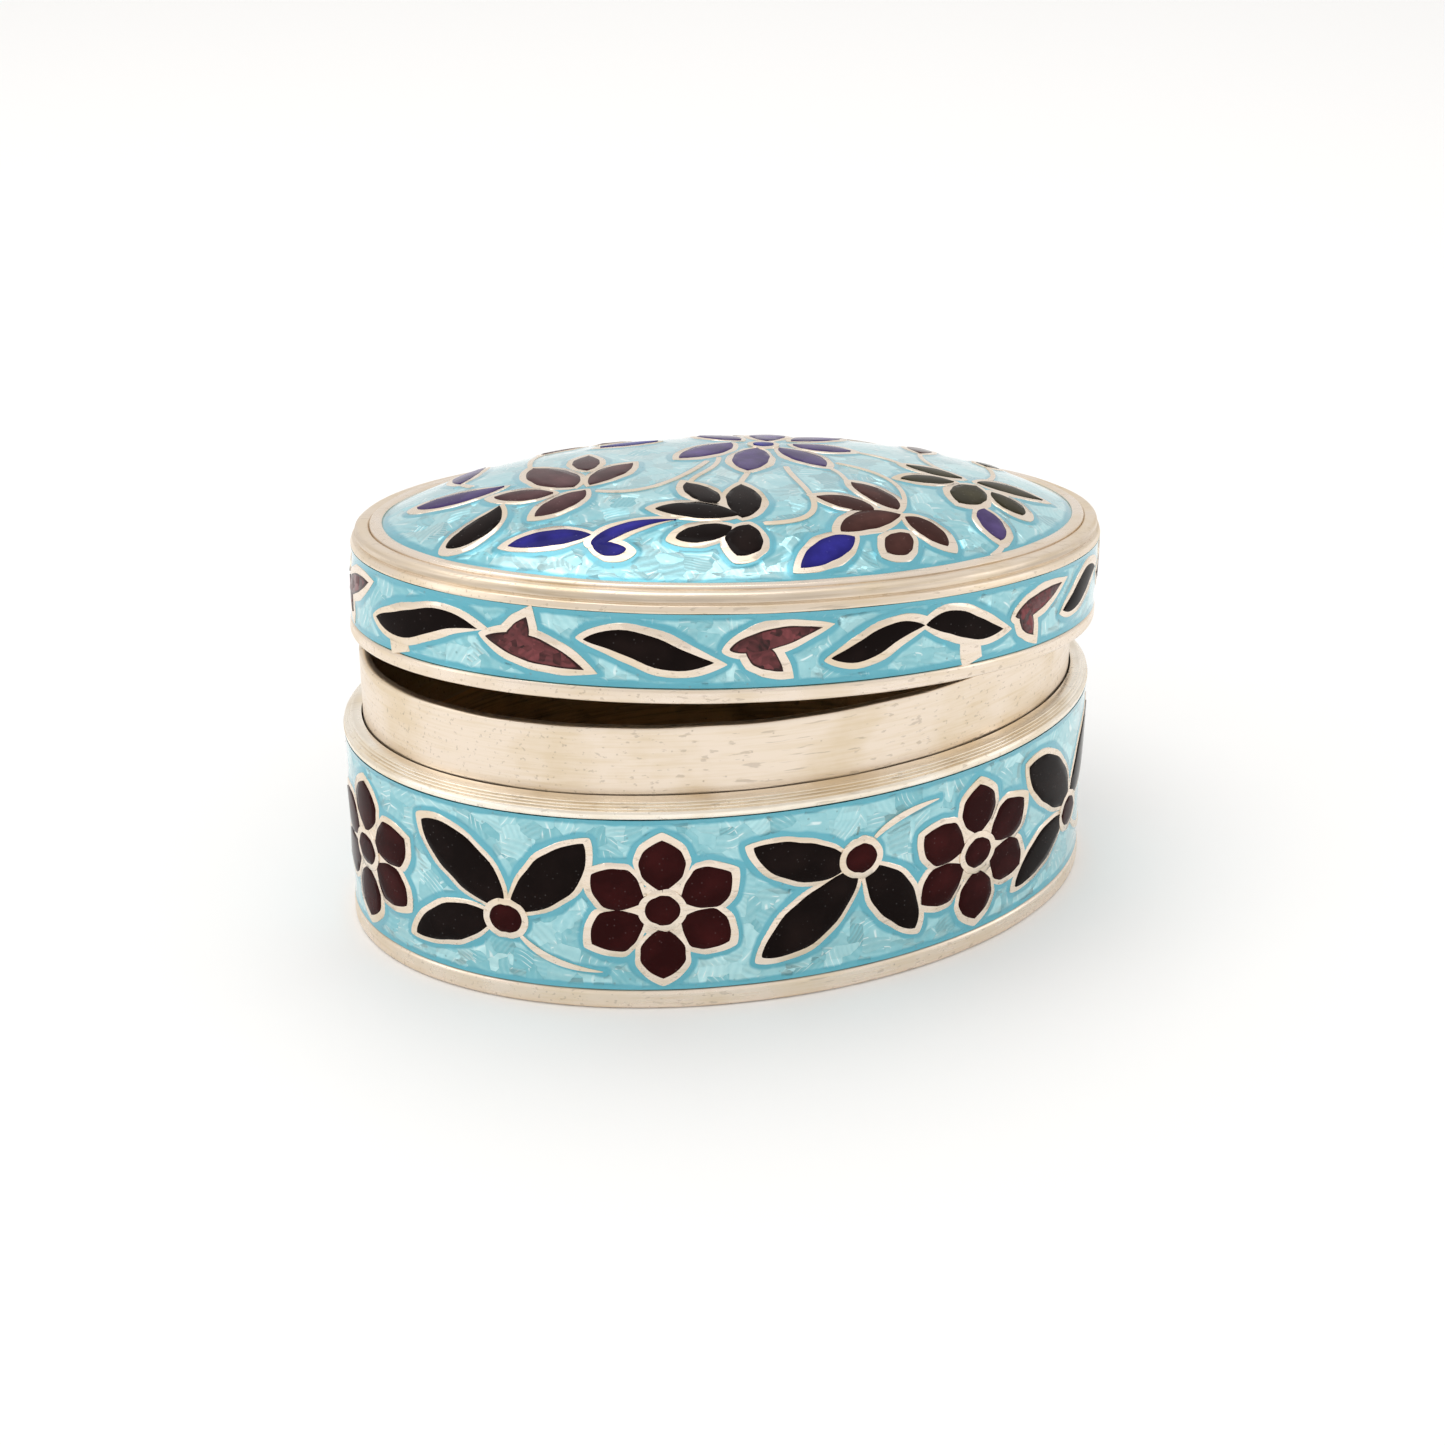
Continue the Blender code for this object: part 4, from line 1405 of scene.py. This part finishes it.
class PILLBOX_OT_lid_metal(bpy.types.Operator):
    """Build the lid's silver: edge rim, side band, two beads and the dome's plate."""

    bl_idname = "pillbox.lid_metal"
    bl_label = "Lid silver"

    def execute(self, context):
        bright = silver("lid silver", True, roughness=0.24, dents=0.035)
        worn = silver("lid worn silver", True, roughness=0.30, dents=0.05, warmth=0.25)
        inside = inside_metal("inside of the lid", True)
        loop = corner_loop(LID_EDGE.bottom, (0.08, 0.02, 0.06), (0.0, 0.14, 0.09),
                           (0.0, 0.72, 0.09), (0.12, 0.86, 0.06), (0.60, 0.86, 0.04),
                           (0.60, 0.02, 0.04))
        # The rim is painted darker at its seam with the band: painted shade with some dirt
        seam = near(loop, LID_EDGE.top + 0.02 * MM, 0.10 * MM)
        ring("lid_edge_ring", loop, on_lid, bright, "lid_edge_rim",
             waver=SLIGHT_WAVER, seed=21, shade_and_grime=0.5 * seam)
        ring("lid_wall", box_loop(LID_BAND, 0.03 * MM), on_lid, inside, "lid_side_band")
        loop = corner_loop(
            LID_BAND.top, (0.06, 0.01, 0.03), (0.03, 0.11, 0.05), (0.12, 0.41, 0.05),
            (0.30, 0.49, 0.03), (0.24, 0.61, 0.08), (0.28, 0.93, 0.14), (0.52, 1.09, 0.14),
            (0.98, 1.07, 0.06), (1.09, 0.97, 0.05), (1.09, 0.01, 0.05))
        # The bead's hollow is painted darker: painted shade with some dirt
        hollow = near(loop, LID_BAND.top + 0.73 * MM, 0.34 * MM)
        ring("lid_outer_wire", loop, on_lid, worn, "lid_outer_bead",
             waver=BEAD_WAVER, seed=22, shade_and_grime=0.45 * hollow * (loop[:, 0] < 0.5 * MM))
        loop = corner_loop(
            LID_BAND.top, (1.09, 0.37, 0.04), (1.09, 1.11, 0.03), (1.20, 1.24, 0.08),
            (1.62, 1.29, 0.10), (1.80, 1.21, 0.05), (1.80, 0.49, 0.04))
        # The inner bead is painted darker at its seam: painted shade with some dirt
        seam = near(loop, LID_BAND.top + 1.09 * MM, 0.08 * MM)
        ring("lid_inner_wire", loop, on_lid, bright, "lid_inner_bead",
             waver=BEAD_WAVER, seed=23, shade_and_grime=0.4 * seam * (loop[:, 0] < 1.15 * MM))
        dome_plate(inside)
        return {"FINISHED"}


class PILLBOX_OT_lid_enamel(bpy.types.Operator):
    """Build the lid's turquoise ground, on its side and on the dome."""

    bl_idname = "pillbox.lid_enamel"
    bl_label = "Lid ground"

    def execute(self, context):
        leaves, buds = lid_vine()
        material = turquoise("lid turquoise", True)
        wall_ground("lid_side_ground", LID_GLAZE, on_lid, leaves + buds, vine_tabs(),
                    "lid_side_enamel", material, VINE_WIDEN)
        dome_ground(dome_cells(), DOME_STEMS, material)
        return {"FINISHED"}


TAB_PLACES = (-25.0, 8.8)
TAB_HALF_WIDTH = 0.85


def vine_tabs():
    """The silver tabs that tie the vine to the lower rim."""
    return [(((s + 0.2, 0.9), (s, 1.5), (s, 2.1), (s - 0.2, 2.7)), TAB_HALF_WIDTH, True)
            for s in TAB_PLACES]


def dome_cells():
    """All the dome's cells in one list."""
    eyes = [disc(*eye) for eye in DOME_EYES]
    return [cell for cells in DOME_CELLS.values() for cell in cells] + eyes


class PILLBOX_OT_lid_vine(bpy.types.Operator):
    """Build the vine on the lid's side: silver, black leaves and maroon buds."""

    bl_idname = "pillbox.lid_vine"
    bl_label = "Lid vine"

    def execute(self, context):
        enamel = context.scene.pill_box_enamel
        leaves, buds = lid_vine()
        metal = silver("lid ornament silver", True, roughness=0.22, dents=0.015)
        set_borders("lid_vine_silver", leaves + buds, vine_tabs(), on_lid, metal,
                    VINE_WIDEN)
        set_cells("lid_leaf_glass", leaves, on_lid,
                  dark_glass("lid black glass", True, enamel.black))
        set_cells("lid_bud_glass", buds, on_lid,
                  bud_glass("lid red glass", True, enamel.maroon, enamel.red))
        return {"FINISHED"}


class PILLBOX_OT_dome_flowers(bpy.types.Operator):
    """Build the dome's flowers: silver with stems, then each colour of glass."""

    bl_idname = "pillbox.dome_flowers"
    bl_label = "Dome flowers"

    def execute(self, context):
        enamel = context.scene.pill_box_enamel
        metal = bpy.data.materials["lid ornament silver"]
        set_borders("dome_silver", dome_cells(), DOME_STEMS, on_dome, metal, DOME_WIDEN)
        for colour, cells in DOME_CELLS.items():
            glass = dark_glass(f"dome {colour} glass", True, getattr(enamel, colour))
            set_cells(f"dome_{colour}_glass", cells, on_dome, glass)
        set_cells("dome_eye_glass", [disc(*eye) for eye in DOME_EYES], on_dome,
                  bpy.data.materials["dome cobalt glass"])
        return {"FINISHED"}


OPERATORS = (
    PILLBOX_OT_stage, PILLBOX_OT_base_metal, PILLBOX_OT_base_enamel,
    PILLBOX_OT_base_flowers, PILLBOX_OT_base_sprigs, PILLBOX_OT_lid_metal,
    PILLBOX_OT_lid_enamel, PILLBOX_OT_lid_vine, PILLBOX_OT_dome_flowers,
)
SETTINGS = {
    "pill_box_metal": PillBoxMetal,
    "pill_box_enamel": PillBoxEnamel,
    "pill_box_studio": PillBoxStudio,
}


class PILLBOX_PT_panel(bpy.types.Panel):
    """The settings and the operators, in the order they are run."""

    bl_idname = "PILLBOX_PT_panel"
    bl_label = "Pill Box"
    bl_space_type = "VIEW_3D"
    bl_region_type = "UI"
    bl_category = "Pill Box"

    def draw(self, context):
        for field in SETTINGS:
            group = getattr(context.scene, field)
            box = self.layout.box()
            for name in group.bl_rna.properties.keys():
                if name not in ("rna_type", "name"):
                    box.prop(group, name)
        for operator in OPERATORS:
            self.layout.operator(operator.bl_idname)


def register():
    """Register the classes and hang the settings on the scene."""
    for kind in (*SETTINGS.values(), *OPERATORS, PILLBOX_PT_panel):
        bpy.utils.register_class(kind)
    for field, kind in SETTINGS.items():
        setattr(bpy.types.Scene, field, bpy.props.PointerProperty(type=kind))


def unregister():
    """Take the settings and the classes away again."""
    for field in SETTINGS:
        delattr(bpy.types.Scene, field)
    for kind in (PILLBOX_PT_panel, *reversed(OPERATORS), *SETTINGS.values()):
        bpy.utils.unregister_class(kind)


def main():
    """Build everything in order."""
    register()
    bpy.ops.pillbox.stage()
    bpy.ops.pillbox.base_metal()
    bpy.ops.pillbox.base_enamel()
    bpy.ops.pillbox.base_flowers()
    bpy.ops.pillbox.base_sprigs()
    bpy.ops.pillbox.lid_metal()
    bpy.ops.pillbox.lid_enamel()
    bpy.ops.pillbox.lid_vine()
    bpy.ops.pillbox.dome_flowers()


if __name__ == "__main__":
    main()
